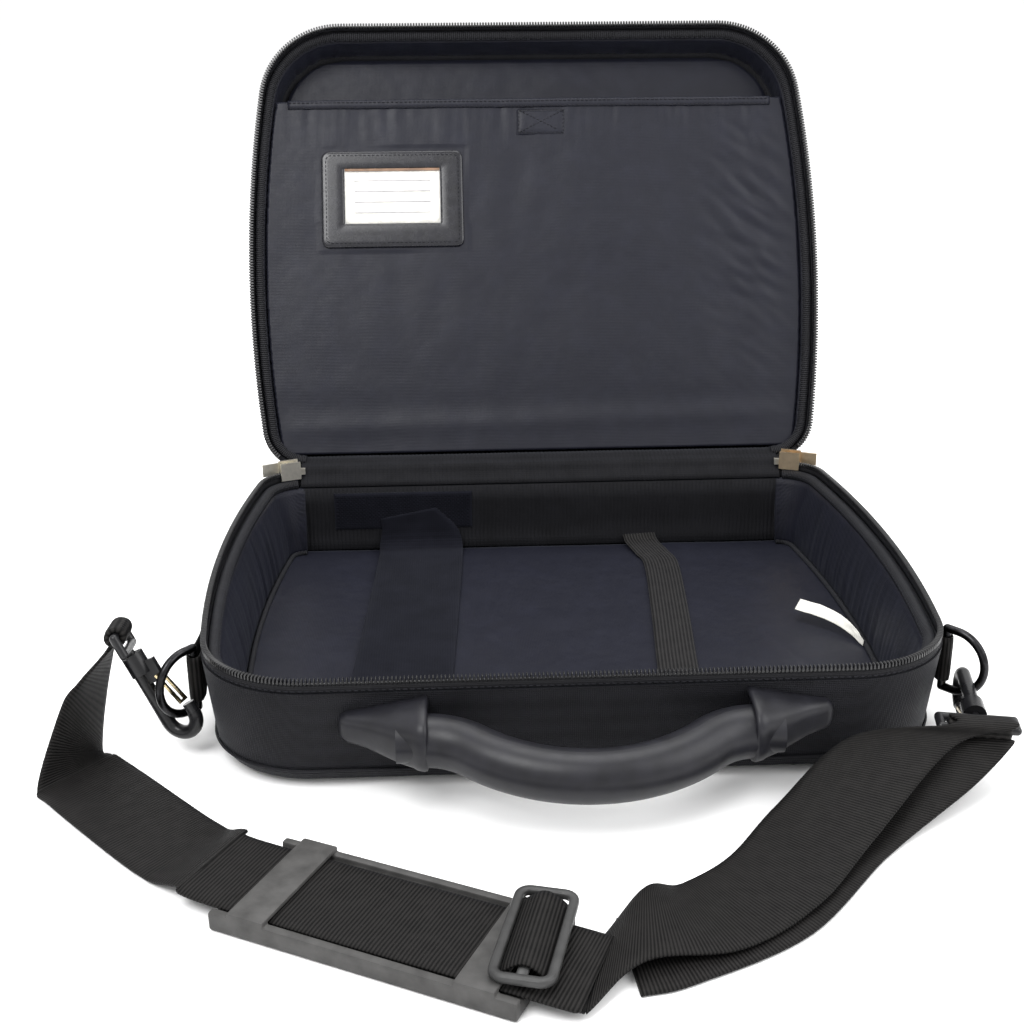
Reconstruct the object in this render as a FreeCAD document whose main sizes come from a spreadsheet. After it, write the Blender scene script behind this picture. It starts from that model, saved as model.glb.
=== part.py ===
import FreeCAD, Part
import math
import os
import Sketcher
from FreeCAD import Placement, Rotation, Vector

# Zipped carry case for miniatures, opened like a book, with a moulded handle and a clip-on
# shoulder strap.  Millimetres, +Z up, +Y towards the hinge.  The origin is the centre of the
# face that the base stands on.

DIMENSIONS = {
    # outline of the case at the rim
    "half_width": 190.0,
    "half_depth": 150.0,
    "side_radius": 829.0,
    "bow_centre": 12.5,
    "front_radius": 55.0,
    "hinge_radius": 28.0,
    # heights, with the case shut
    "parting": 60.0,
    "band": 8.0,
    "lid_depth": 36.0,
    "lid_open_angle": 115.0,
    # moulded shells
    "wall": 3.0,
    "draft": 4.5,
    "edge_round": 12.0,
    # zip: woven tape, coil, and the gap between the two coils when shut
    "tape_thick": 1.2,
    "tape_inset": 1.0,
    "coil_tall": 3.0,
    "coil_thick": 3.0,
    "coil_inset": 0.2,
    "coil_gap": 0.7,
    # padding and linings
    "clearance": 0.3,
    "base_pad_inner": 15.5,
    "lid_pad_inner": 9.3,
    "binding_inner": 9.0,
    "binding_tall": 5.7,
    "hinge_panel": 5.5,
    "floor_board": 1.2,
    "floor_pad": 1.8,
    "lining": 1.8,
    # zip sliders
    "slider_angle": 22.0,
    "slider_long": 13.0,
    "slider_tall": 11.6,
    "slider_plate": 1.2,
    "pull_long": 16.5,
    # handle
    "handle_axis_y": 163.0,
    "handle_axis_z": 34.0,
    "handle_reach": 27.5,
    "handle_left": 75.0,
    "handle_right": 79.0,
    "grip_radius": 12.2,
    "trunnion_radius": 10.0,
    # screws that hold the handle, and the plates behind the wall
    "screw_shank": 1.8,
    "screw_long": 11.0,
    "screw_head": 3.6,
    "screw_head_tall": 1.3,
    "cap_bore": 1.9,
    "plate_bore": 2.1,
    "plate_bore_long": 10.0,
    # rivets in the zip pulls and the hooks
    "pull_pin": 0.7,
    "pull_pin_long": 6.0,
    "pull_bore": 0.9,
    "pull_bore_long": 8.0,
    "gate_pin": 0.8,
    # side rings and snap hooks
    "ring_y": 100.0,
    "ring_x": 186.2,
    "ring_z": 37.0,
    "ring_bend": 16.0,
    "ring_wire": 2.1,
    "ring_turn": 50.0,
    "hook_wire": 3.4,
    "hook_bend": 8.2,
    "eye_wire": 2.2,
    # webbing
    "strap_width": 46.0,
    "strap_thick": 2.0,
    "shoulder_pad_long": 135.0,
    "shoulder_pad_wide": 58.0,
}

doc = FreeCAD.newDocument("CarryCase")
sheet = doc.addObject("Spreadsheet::Sheet", "Dims")
for row, (alias, number) in enumerate(DIMENSIONS.items(), start=1):
    sheet.set(f"A{row}", alias)
    sheet.set(f"B{row}", str(number))
    sheet.setAlias(f"B{row}", alias)
doc.recompute()

SUB_PARTS = []


def size(expression):
    """Value of an expression in the sheet's names, such as 'wall + 2 * clearance'."""
    return float(sheet.evalExpression(expression))


def bound(expression):
    """The same expression as other objects write it, with the sheet's name before each alias."""
    words = expression.replace("(", " ( ").replace(")", " ) ").split()
    return " ".join(f"Dims.{word}" if word in DIMENSIONS else word for word in words)


def keep(thing, name):
    """Record an object as a sub-part; its label is the file's name."""
    thing.Label = name
    SUB_PARTS.append(thing)
    return thing


# ---------------------------------------------------------------- sketch and body helpers

def new_body(name):
    return keep(doc.addObject("PartDesign::Body", name), name)


def new_sketch(body, plane="XY_Plane", offset="0"):
    """Sketch on one of the body's origin planes, moved along that plane's normal."""
    count = len(body.Group)
    sketch = body.newObject("Sketcher::SketchObject", f"{body.Name}_sketch_{count}")
    role = next(item for item in body.Origin.OriginFeatures if item.Role == plane)
    sketch.AttachmentSupport = [(role, "")]
    sketch.MapMode = "FlatFace"
    sketch.setExpression("AttachmentOffset.Base.z", bound(offset))
    return sketch


def add_polygon(sketch, points):
    """Closed outline of straight edges through the given points."""
    first = sketch.GeometryCount
    corners = [Vector(x, y, 0) for x, y in points]
    edges = len(corners)
    for index in range(edges):
        sketch.addGeometry(Part.LineSegment(corners[index], corners[(index + 1) % edges]))
    for index in range(edges):
        after = first + (index + 1) % edges
        sketch.addConstraint(Sketcher.Constraint("Coincident", first + index, 2, after, 1))


def add_circle(sketch, x, y, radius):
    """Circle whose radius is bound to the sheet; radius is an expression."""
    index = sketch.addGeometry(Part.Circle(Vector(x, y, 0), Vector(0, 0, 1), size(radius)))
    constraint = sketch.addConstraint(Sketcher.Constraint("Radius", index, size(radius)))
    sketch.setExpression(f"Constraints[{constraint}]", bound(radius))


CORNER_FRONT = Vector(
    math.sqrt(size("side_radius - front_radius") ** 2
              - size("bow_centre + half_depth - front_radius") ** 2)
    - size("side_radius - half_width"),
    -size("half_depth - front_radius"), 0)
CORNER_HINGE = Vector(
    math.sqrt(size("side_radius - hinge_radius") ** 2
              - size("half_depth - hinge_radius - bow_centre") ** 2)
    - size("side_radius - half_width"),
    size("half_depth - hinge_radius"), 0)


def add_outline(sketch, inset):
    """The case's outline: straight front and hinge edges, bowed sides and four round corners,
    all tangent, drawn parallel to the rim and inset from it."""
    step = size(inset)
    side = size("side_radius") - step
    front = size("front_radius") - step
    hinge = size("hinge_radius") - step
    edge = size("half_depth") - step
    centre = Vector(-size("side_radius - half_width"), size("bow_centre"), 0)
    low = math.atan2(CORNER_FRONT.y - centre.y, CORNER_FRONT.x - centre.x)
    high = math.atan2(CORNER_HINGE.y - centre.y, CORNER_HINGE.x - centre.x)
    half = math.pi / 2

    def mirrored(point):
        return Vector(-point.x, point.y, 0)

    def arc(middle, radius, start, stop):
        return Part.ArcOfCircle(Part.Circle(middle, Vector(0, 0, 1), radius), start, stop)

    pieces = [
        Part.LineSegment(Vector(-CORNER_FRONT.x, -edge, 0), Vector(CORNER_FRONT.x, -edge, 0)),
        arc(CORNER_FRONT, front, -half, low),
        arc(centre, side, low, high),
        arc(CORNER_HINGE, hinge, high, half),
        Part.LineSegment(Vector(CORNER_HINGE.x, edge, 0), Vector(-CORNER_HINGE.x, edge, 0)),
        arc(mirrored(CORNER_HINGE), hinge, half, math.pi - high),
        arc(mirrored(centre), side, math.pi - high, math.pi - low),
        arc(mirrored(CORNER_FRONT), front, math.pi - low, 3 * half),
    ]
    first = sketch.addGeometry(pieces, False)[0]
    count = len(pieces)
    for index in range(count):
        after = first + (index + 1) % count
        sketch.addConstraint(Sketcher.Constraint("Tangent", first + index, 2, after, 1))
    radii = {1: "front_radius", 7: "front_radius", 3: "hinge_radius", 5: "hinge_radius",
             2: "side_radius", 6: "side_radius"}
    for index, alias in radii.items():
        bind(sketch, Sketcher.Constraint("Radius", first + index, size(alias) - step),
             f"{alias} - ( {inset} )")
    sketch.addConstraint(Sketcher.Constraint("Horizontal", first))
    sketch.addConstraint(Sketcher.Constraint("Horizontal", first + 4))
    bind(sketch, Sketcher.Constraint("DistanceY", first, 1, -1, 1, edge),
         f"half_depth - ( {inset} )")
    bind(sketch, Sketcher.Constraint("DistanceY", -1, 1, first + 4, 1, edge),
         f"half_depth - ( {inset} )")
    reach = "side_radius - half_width"
    bind(sketch, Sketcher.Constraint("DistanceX", first + 2, 3, -1, 1, size(reach)), reach)
    bind(sketch, Sketcher.Constraint("DistanceX", -1, 1, first + 6, 3, size(reach)), reach)
    for index in (2, 6):
        rise = Sketcher.Constraint("DistanceY", -1, 1, first + index, 3, centre.y)
        bind(sketch, rise, "bow_centre")


def bind(sketch, constraint, expression):
    index = sketch.addConstraint(constraint)
    sketch.setExpression(f"Constraints[{index}]", bound(expression))


def pad(body, sketch, length, reversed_side=False):
    feature = body.newObject("PartDesign::Pad", f"{body.Name}_pad_{len(body.Group)}")
    feature.Profile = sketch
    feature.setExpression("Length", bound(length))
    feature.Reversed = reversed_side
    doc.recompute()
    return feature


def pocket(body, sketch, length, reversed_side=False):
    """Pocket that must remove material; a pocket that points away cuts nothing."""
    before = body.Shape.Volume
    feature = body.newObject("PartDesign::Pocket", f"{body.Name}_pocket_{len(body.Group)}")
    feature.Profile = sketch
    feature.setExpression("Length", bound(length))
    feature.Reversed = reversed_side
    doc.recompute()
    if body.Shape.Volume > before - 0.01:
        raise ValueError(f"{body.Name}: a pocket removed nothing")
    return feature


ROUND_STEPS = 4


def wall_levels(face, inset_face, rim, inset_rim, radius, upwards=True):
    """Levels (height, inset) of a drafted wall from a flat face, whose edge is rounded, to
    the open rim."""
    sign = "+" if upwards else "-"
    levels = []
    for step in range(ROUND_STEPS + 1):
        angle = math.pi / 2 * step / ROUND_STEPS
        rise = round(1 - math.cos(angle), 4)
        inward = round(1 - math.sin(angle), 4)
        levels.append((f"{face} {sign} ( {radius} ) * {rise}",
                       f"{inset_face} + ( {radius} ) * {inward}"))
    levels.append((rim, inset_rim))
    return levels


def outline_loft(body, kind, levels):
    """Solid through outlines at (height, inset); kind is AdditiveLoft or SubtractiveLoft."""
    sketches = []
    for height, inset in levels:
        sketch = new_sketch(body, offset=height)
        add_outline(sketch, inset)
        sketches.append(sketch)
    before = 0.0 if kind == "AdditiveLoft" else body.Shape.Volume
    feature = body.newObject(f"PartDesign::{kind}", f"{body.Name}_loft_{len(body.Group)}")
    feature.Profile = sketches[0]
    feature.Sections = sketches[1:]
    feature.Ruled = True
    doc.recompute()
    if abs(body.Shape.Volume - before) < 1.0:
        raise ValueError(f"{body.Name}: a loft changed nothing")
    return feature


def outline_ring(body, low, tall, outer, inner):
    """Upright band of constant section that follows the outline all the way round."""
    sketch = new_sketch(body, offset=low)
    add_outline(sketch, outer)
    add_outline(sketch, inner)
    return pad(body, sketch, tall)


FAR = 220.0


def cut_hinge_side(body, half_opening, front_y=100.0, back_y=None):
    """Open a ring at the hinge edge, between two cuts at +-half_opening.  A back_y also trims
    whatever lies behind that line."""
    back = back_y if back_y is not None else FAR
    points = [(-half_opening, front_y), (half_opening, front_y), (half_opening, back)]
    if back_y is not None:
        points += [(FAR, back), (FAR, FAR), (-FAR, FAR), (-FAR, back)]
    points.append((-half_opening, back))
    sketch = new_sketch(body, offset="parting + lid_depth + 10")
    add_polygon(sketch, points)
    pocket(body, sketch, "parting + lid_depth + 20")


# The lid is drawn shut, above the parting plane, and then swung back about the hinge line.
LID_OPEN = Placement(
    Vector(0, 0, 0), Rotation(Vector(1, 0, 0), -size("lid_open_angle")),
    Vector(0, size("half_depth"), size("parting")))


# ---------------------------------------------------------------- the two moulded shells

BASE_RIM = "parting - band"
LID_RIM = "parting + band"
LID_TOP = "parting + lid_depth"


def build_base_shell():
    """EVA tray: drafted walls, rounded bottom edge, constant wall, four screw holes."""
    body = new_body("base_shell")
    outline_loft(body, "AdditiveLoft", wall_levels("0", "draft", BASE_RIM, "0", "edge_round"))
    outline_loft(body, "SubtractiveLoft", wall_levels(
        "wall", "draft + wall", BASE_RIM, "wall", "edge_round - wall"))
    sketch = new_sketch(body, "XZ_Plane", "half_depth + 5")
    for x in SCREW_X:
        add_circle(sketch, x, size("handle_axis_z"), "plate_bore")
    pocket(body, sketch, "20")
    return body


def build_lid_shell():
    """Shallower tray of the same outline, drawn upside down over the base."""
    body = new_body("lid_shell")
    outline_loft(body, "AdditiveLoft", wall_levels(
        LID_TOP, "draft", LID_RIM, "0", "edge_round", upwards=False))
    outline_loft(body, "SubtractiveLoft", wall_levels(
        f"{LID_TOP} - wall", "draft + wall", LID_RIM, "wall", "edge_round - wall",
        upwards=False))
    body.Placement = LID_OPEN
    return body


SCREW_X = (-106.0, -96.0, 100.0, 110.0)

build_base_shell()
build_lid_shell()


# ---------------------------------------------------------------- padding and linings

U_OPENING = CORNER_HINGE.x
PANEL_FACE = "half_depth - wall - clearance - hinge_panel"


def build_base_padding():
    """Foam wall inside the base: front and both sides, with a relief for the handle's plates."""
    body = new_body("base_wall_padding")
    low = "wall + clearance"
    high = f"{BASE_RIM} - binding_tall + 2"
    outline_loft(body, "AdditiveLoft", wall_levels(
        low, "draft + wall + clearance", high, "wall + 2 * clearance", "edge_round - wall"))
    outline_loft(body, "SubtractiveLoft",
                 [("0", "base_pad_inner + 1.6"), (high, "base_pad_inner")])
    cut_hinge_side(body, U_OPENING, back_y=size(PANEL_FACE) - 0.5)
    for x in (sum(SCREW_X[:2]) / 2, sum(SCREW_X[2:]) / 2):
        sketch = new_sketch(body, "XZ_Plane", "half_depth")
        middle = size("handle_axis_z")
        add_polygon(sketch, [(x - 14, middle - 9), (x + 14, middle - 9),
                             (x + 14, middle + 9), (x - 14, middle + 9)])
        pocket(body, sketch, "9")


def build_hinge_panel():
    """Thin padded wall on the hinge side of the base, covered in ribbed knit."""
    body = new_body("base_hinge_panel")
    low = "wall + clearance"
    outline_loft(body, "AdditiveLoft", wall_levels(
        low, "draft + wall + clearance", BASE_RIM, "wall + 2 * clearance", "edge_round - wall"))
    sketch = new_sketch(body, offset="parting + 10")
    face = size(PANEL_FACE)
    add_polygon(sketch, [(-FAR, -FAR), (FAR, -FAR), (FAR, face), (-FAR, face)])
    pocket(body, sketch, "parting + 20")


def build_floor(name, low, tall, reach):
    """Flat layer on the base's floor, reaching back towards the hinge panel."""
    body = new_body(name)
    sketch = new_sketch(body, offset=low)
    add_outline(sketch, "base_pad_inner + 2")
    pad(body, sketch, tall)
    back = new_sketch(body, offset=low)
    add_polygon(back, [(-U_OPENING + 2, 100), (U_OPENING - 2, 100),
                       (U_OPENING - 2, reach), (-U_OPENING + 2, reach)])
    pad(body, back, tall)


def build_ring(name, low, tall, outer, inner, opening, lid=False, back_y=None):
    body = new_body(name)
    outline_ring(body, low, tall, outer, inner)
    cut_hinge_side(body, opening, back_y=back_y)
    if lid:
        body.Placement = LID_OPEN


def build_lid_padding():
    """Thin foam wall inside the lid, open at the hinge side."""
    body = new_body("lid_wall_padding")
    low = f"{LID_RIM} + binding_tall - 2 + clearance"
    high = "parting + lid_depth - wall - clearance"
    outline_loft(body, "AdditiveLoft", wall_levels(
        high, "draft + wall + clearance", low, "wall + 1 + clearance", "edge_round - wall",
        upwards=False))
    outline_loft(body, "SubtractiveLoft",
                 [(low, "lid_pad_inner"), (LID_TOP, "lid_pad_inner + 1.6")])
    cut_hinge_side(body, U_OPENING, back_y=size("half_depth") - 8)
    body.Placement = LID_OPEN


def build_lid_sheet(name, low, tall, inset, front_y=None):
    """Flat layer inside the lid; front_y cuts it off short of the lid's front edge."""
    body = new_body(name)
    sketch = new_sketch(body, offset=low)
    add_outline(sketch, inset)
    pad(body, sketch, tall)
    if front_y is not None:
        trim = new_sketch(body, offset=LID_TOP)
        add_polygon(trim, [(-FAR, -FAR), (FAR, -FAR), (FAR, front_y), (-FAR, front_y)])
        pocket(body, trim, "lid_depth + 10")
    body.Placement = LID_OPEN


build_base_padding()
build_hinge_panel()
build_floor("base_floor_board", "wall + 0.1", "floor_board", 133.0)
build_floor("base_floor_pad", "wall + floor_board + 0.3", "floor_pad", 137.5)
FLOOR_TOP = "wall + floor_board + floor_pad + 0.3"
build_ring("base_floor_piping", f"{FLOOR_TOP} + 0.1", "2.6",
           "base_pad_inner + 1.9", "base_pad_inner + 4.5", U_OPENING - 1)
build_ring("base_rim_binding", f"{BASE_RIM} - binding_tall + 2.2", "binding_tall - 0.6",
           "wall + 3 * clearance", "binding_inner", U_OPENING, back_y=size(PANEL_FACE) - 0.5)
build_lid_padding()
build_lid_sheet("lid_board", "parting + lid_depth - wall - floor_board - 0.1", "floor_board",
                "draft + wall + edge_round - wall + 1")
build_lid_sheet("lid_lining", "parting + lid_depth - wall - floor_board - lining - 0.3",
                "lining", "lid_pad_inner + 5")
POCKET_LEVEL = f"{LID_RIM} + binding_tall - 2 + clearance"
POCKET_TOP = -100.0
build_lid_sheet("lid_pocket_panel", POCKET_LEVEL, "lining", "lid_pad_inner + 0.6", POCKET_TOP)
build_ring("lid_rim_binding", f"{LID_RIM} - 1.6", "binding_tall - 0.6",
           "wall + 5 * clearance", "binding_inner", U_OPENING, lid=True)


# ---------------------------------------------------------------- zip and hinge

COIL_START = 8.0
LID_COIL_START = 42.0


def corner_x(angle):
    """X of the hinge corner's arc at an angle from the hinge edge's normal."""
    return CORNER_HINGE.x + size("hinge_radius") * math.sin(math.radians(angle))


COIL_LOW = "parting - coil_gap - coil_tall"
for zip_name, bottom, tall, start, on_lid, inset, thick in (
        ("base_zip_tape", f"{BASE_RIM} + 0.1", "band - coil_gap - coil_tall - 0.2",
         COIL_START, False, "tape_inset", "tape_thick"),
        ("base_zip_coil", COIL_LOW, "coil_tall", COIL_START, False,
         "coil_inset", "coil_thick"),
        ("lid_zip_coil", "parting + coil_gap", "coil_tall", LID_COIL_START, True,
         "coil_inset", "coil_thick"),
        ("lid_zip_tape", "parting + coil_gap + coil_tall + 0.1",
         "band - coil_gap - coil_tall - 0.2", LID_COIL_START, True,
         "tape_inset", "tape_thick")):
    build_ring(zip_name, bottom, tall, inset, f"{inset} + {thick}", corner_x(start), lid=on_lid)


def build_hinge_strip(name, low, lid):
    """Half of the fabric hinge: it meets the other half on the hinge line."""
    body = new_body(name)
    sketch = new_sketch(body, offset=low)
    edge = size("half_depth")
    add_polygon(sketch, [(-150, edge - 0.9), (150, edge - 0.9), (150, edge - 0.1),
                         (-150, edge - 0.1)])
    pad(body, sketch, "band - 0.8")
    if lid:
        body.Placement = LID_OPEN


build_hinge_strip("base_hinge_strip", f"{BASE_RIM} + 0.1", False)
build_hinge_strip("lid_hinge_strip", "parting + 0.6", True)


# ---------------------------------------------------------------- Part primitives

def cylinder(name, radius, height, base, direction=Vector(0, 0, 1)):
    """Cylinder from a base point along a direction; radius and height are expressions."""
    item = doc.addObject("Part::Cylinder", name)
    item.setExpression("Radius", bound(radius))
    item.setExpression("Height", bound(height))
    item.Placement = Placement(base, Rotation(Vector(0, 0, 1), direction))
    return item


def block(name, low, high):
    """Box between two opposite corners."""
    item = doc.addObject("Part::Box", name)
    item.Length = high[0] - low[0]
    item.Width = high[1] - low[1]
    item.Height = high[2] - low[2]
    item.Placement = Placement(Vector(*low), Rotation())
    return item


def ball(name, radius, centre):
    item = doc.addObject("Part::Sphere", name)
    item.setExpression("Radius", bound(radius))
    item.Placement = Placement(centre, Rotation())
    return item


def union(name, items):
    item = doc.addObject("Part::MultiFuse", name)
    item.Shapes = items
    item.Refine = True
    return item


def group(name, items):
    """Several separate solids kept as one node, such as a set of screws."""
    item = doc.addObject("Part::Compound", name)
    item.Links = items
    return item


def difference(name, base, tools):
    item = doc.addObject("Part::Cut", name)
    item.Base = base
    item.Tool = tools[0] if len(tools) == 1 else union(f"{name}_tools", tools)
    return item


SIDES = (("left", -1), ("right", 1))
X_AXIS = Vector(1, 0, 0)
Y_AXIS = Vector(0, 1, 0)
Z_AXIS = Vector(0, 0, 1)


def at_hinge_corner(side, angle):
    """Frame on a hinge corner's arc centre: local Y runs out through the zip, local X runs
    along it and away from the hinge, local Z is up from the parting plane."""
    turn = Rotation(Z_AXIS, -side * angle)
    return Placement(Vector(side * CORNER_HINGE.x, CORNER_HINGE.y, size("parting")), turn)


def build_slider(label, side):
    """Zip slider: two plates that straddle both coils, a thin divider and a lug for the pull."""
    name = f"zip_slider_{label}"
    half_long = size("slider_long") / 2
    half_tall = size("slider_tall") / 2
    plate = size("slider_plate")
    outer = size("hinge_radius") + 0.7
    inner = size("hinge_radius - coil_inset - coil_thick") - 1.5
    divider = size("coil_gap") - 0.3
    lug = outer + plate
    body = union(f"{name}_body", [
        block(f"{name}_outer", (-half_long, outer, -half_tall),
              (half_long, outer + plate, half_tall)),
        block(f"{name}_inner", (-half_long, inner - plate, -half_tall),
              (half_long, inner, half_tall)),
        block(f"{name}_divider", (-2, inner - 0.2, -divider), (2, outer + 0.2, divider)),
        block(f"{name}_lug", (-1.8, lug - 0.2, -1.5), (1.8, lug + 3.4, 1.5)),
    ])
    hole = cylinder(f"{name}_hole", "pull_bore", "pull_bore_long", Vector(0, lug + PULL_PIN, -4))
    slider = difference(name, body, [hole])
    slider.Placement = at_hinge_corner(side, size("slider_angle"))
    keep(slider, name)


PULL_PIN = 1.7


def build_pull(label, side):
    """Pull tab: a pin through the slider's lug, two cheeks and a flat tongue."""
    name = f"zip_pull_{label}"
    pin = size("hinge_radius") + 0.7 + size("slider_plate") + PULL_PIN
    reach = side * size("pull_long")
    near = side * 3.2

    def between(start, stop, low, high):
        return (min(start, stop), pin - 0.8, low), (max(start, stop), pin + 0.8, high)

    pull = union(name, [
        cylinder(f"{name}_pin", "pull_pin", "pull_pin_long", Vector(0, pin, -3)),
        block(f"{name}_top", *between(-side * 1.6, side * 4, 1.8, 3.2)),
        block(f"{name}_bottom", *between(-side * 1.6, side * 4, -3.2, -1.8)),
        block(f"{name}_tongue", *between(near, reach, -4, 4)),
    ])
    pull.Placement = at_hinge_corner(side, size("slider_angle"))
    keep(pull, name)


def build_zip_stops():
    """Bottom stops: a small clamp over the ends of both tapes at each hinge corner."""
    stops = []
    outer = size("hinge_radius - coil_inset")
    for label, side in SIDES:
        stop = block(f"zip_stop_{label}", (-1.6, outer - 3.2, -3.4), (1.6, outer, 0.2))
        stop.Placement = at_hinge_corner(side, 3.0).multiply(stop.Placement)
        stops.append(stop)
    keep(group("zip_stops", stops), "zip_stops")


for label, side in SIDES:
    build_slider(label, side)
    build_pull(label, side)
build_zip_stops()


# ---------------------------------------------------------------- carry handle

def wall_y(height):
    """Y of the front wall's outer face at a height on the base."""
    rim = size(BASE_RIM)
    lean = size("draft") / (rim - size("edge_round"))
    return -size("half_depth") + lean * (rim - height)


CAP_END = ((27.0, 42.0), 153.6)
CAP_MOUTH = ((18.5, 49.6), 177.0)
CAP_LONG = 37.5


def build_handle_cap(label, side):
    """End cap: lofts from a thin toe to a mouth that holds the grip's round end in a bore."""
    body = new_body(f"handle_cap_{label}")
    mouth_x = side * size(f"handle_{label}")
    sections = []
    ends = [(mouth_x, CAP_MOUTH), (mouth_x + side * CAP_LONG, CAP_END)]
    for x, ((low, high), front) in sorted(ends, reverse=True):
        sketch = new_sketch(body, "YZ_Plane", str(x))
        add_polygon(sketch, [(-front, low), (wall_y(low) - 0.2, low),
                             (wall_y(high) - 0.2, high), (-front, high)])
        sections.append(sketch)
    loft = body.newObject("PartDesign::AdditiveLoft", f"{body.Name}_loft")
    loft.Profile = sections[0]
    loft.Sections = [sections[1]]
    loft.Ruled = True
    doc.recompute()
    long_edges = [f"Edge{index}" for index, edge in enumerate(loft.Shape.Edges, start=1)
                  if edge.BoundBox.XLength > 30 and edge.BoundBox.YMin < -170]
    fillet = body.newObject("PartDesign::Fillet", f"{body.Name}_fillet")
    fillet.Base = (loft, long_edges)
    fillet.Radius = 5.0
    doc.recompute()
    bore = new_sketch(body, "YZ_Plane", str(mouth_x))
    add_circle(bore, -size("handle_axis_y"), size("handle_axis_z"), "trunnion_radius + 0.1")
    pocket(body, bore, "14", reversed_side=side > 0)
    holes = new_sketch(body, "XZ_Plane", "half_depth - 10")
    for x in SCREW_X:
        if x * side > 0:
            add_circle(holes, x, size("handle_axis_z"), "cap_bore")
    pocket(body, holes, "14.5", reversed_side=True)


def grip_path():
    """Centre line of the grip: level ends on the swing axis, joined by tangent arcs that bow
    out from the case and droop a little."""
    left = -size("handle_left") + 1.5
    right = size("handle_right") - 1.5
    middle = (left + right) / 2
    half = (right - left) / 2
    turn = 2 * math.atan2(size("handle_reach"), half)
    total = half / math.sin(turn)
    shoulder = 0.3 * total
    crown = total - shoulder
    droop = math.radians(10.0)
    axis = Vector(0, -size("handle_axis_y"), size("handle_axis_z"))
    out = Vector(0, -math.cos(droop), -math.sin(droop))

    def point(x, reach):
        return axis + X_AXIS * x + out * reach

    def shoulder_at(angle):
        return shoulder * math.sin(angle), shoulder * (1 - math.cos(angle))

    across, reach = shoulder_at(turn)
    half_across, half_reach = shoulder_at(turn / 2)
    top = size("handle_reach")
    crown_x = crown * math.sin(turn / 2)
    crown_reach = top - crown * (1 - math.cos(turn / 2))
    arcs = [
        (point(left, 0), point(left + half_across, half_reach), point(left + across, reach)),
        (point(left + across, reach), point(middle - crown_x, crown_reach), point(middle, top)),
        (point(middle, top), point(middle + crown_x, crown_reach), point(right - across, reach)),
        (point(right - across, reach), point(right - half_across, half_reach), point(right, 0)),
    ]
    return Part.Wire([Part.Arc(*three).toShape() for three in arcs]), left, right, axis


def pipe(path, start, radius):
    """Round bar of one radius along a path that starts at a point heading along X."""
    section = Part.Wire([Part.Circle(start, X_AXIS, radius).toShape()])
    return path.makePipeShell([section], True, False)


def build_grip():
    """Moulded grip with round ends that turn in the caps, over a nylon core."""
    path, left, right, axis = grip_path()
    deep = 12.5
    start = axis + X_AXIS * left
    grip = pipe(path, start, size("grip_radius"))
    core = pipe(path, start, 3.0)
    for x, way in ((left, -1), (right, 1)):
        end = axis + X_AXIS * x
        grip = grip.fuse(Part.makeCylinder(size("trunnion_radius"), deep, end, X_AXIS * way))
        core = core.fuse(Part.makeCylinder(3.0, deep - 2, end, X_AXIS * way))
    item = doc.addObject("Part::Feature", "handle_grip")
    item.Shape = grip.removeSplitter().cut(core)
    keep(item, "handle_grip")
    inner = doc.addObject("Part::Feature", "handle_core")
    inner.Shape = core.removeSplitter()
    keep(inner, "handle_core")


def build_handle_fixings():
    """Two plates behind the front wall, and four screws through them into the caps."""
    level = size("handle_axis_z")
    inside = wall_y(level - 8) + size("wall") + 0.2
    plates = []
    screws = []
    for pair in (SCREW_X[:2], SCREW_X[2:]):
        middle = sum(pair) / 2
        plate = block("handle_plate", (middle - 12, inside, level - 7),
                      (middle + 12, inside + 1.2, level + 7))
        holes = []
        for x in pair:
            holes.append(cylinder("handle_plate_hole", "plate_bore", "plate_bore_long",
                                  Vector(x, inside - 4, level), Y_AXIS))
            shank = cylinder("handle_screw_shank", "screw_shank", "screw_long",
                             Vector(x, inside - 9, level), Y_AXIS)
            head = cylinder("handle_screw_head", "screw_head", "screw_head_tall",
                            Vector(x, inside + 1.3, level), Y_AXIS)
            screws.append(union("handle_screw", [shank, head]))
        plates.append(difference("handle_plate_drilled", plate, holes))
    keep(group("handle_backing_plates", plates), "handle_backing_plates")
    keep(group("handle_screws", screws), "handle_screws")


for label, side in SIDES:
    build_handle_cap(label, side)
build_grip()
build_handle_fixings()


# ---------------------------------------------------------------- side rings and their tabs

def ring_frame(side):
    """Frame on a side ring's upright bar: local X runs out through the ring."""
    turn = size("ring_turn")
    heading = -turn if side > 0 else 180 + turn
    place = Vector(side * size("ring_x"), -size("ring_y"), size("ring_z"))
    return Placement(place, Rotation(Z_AXIS, heading))


RING_LEG = 6.0


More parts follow.
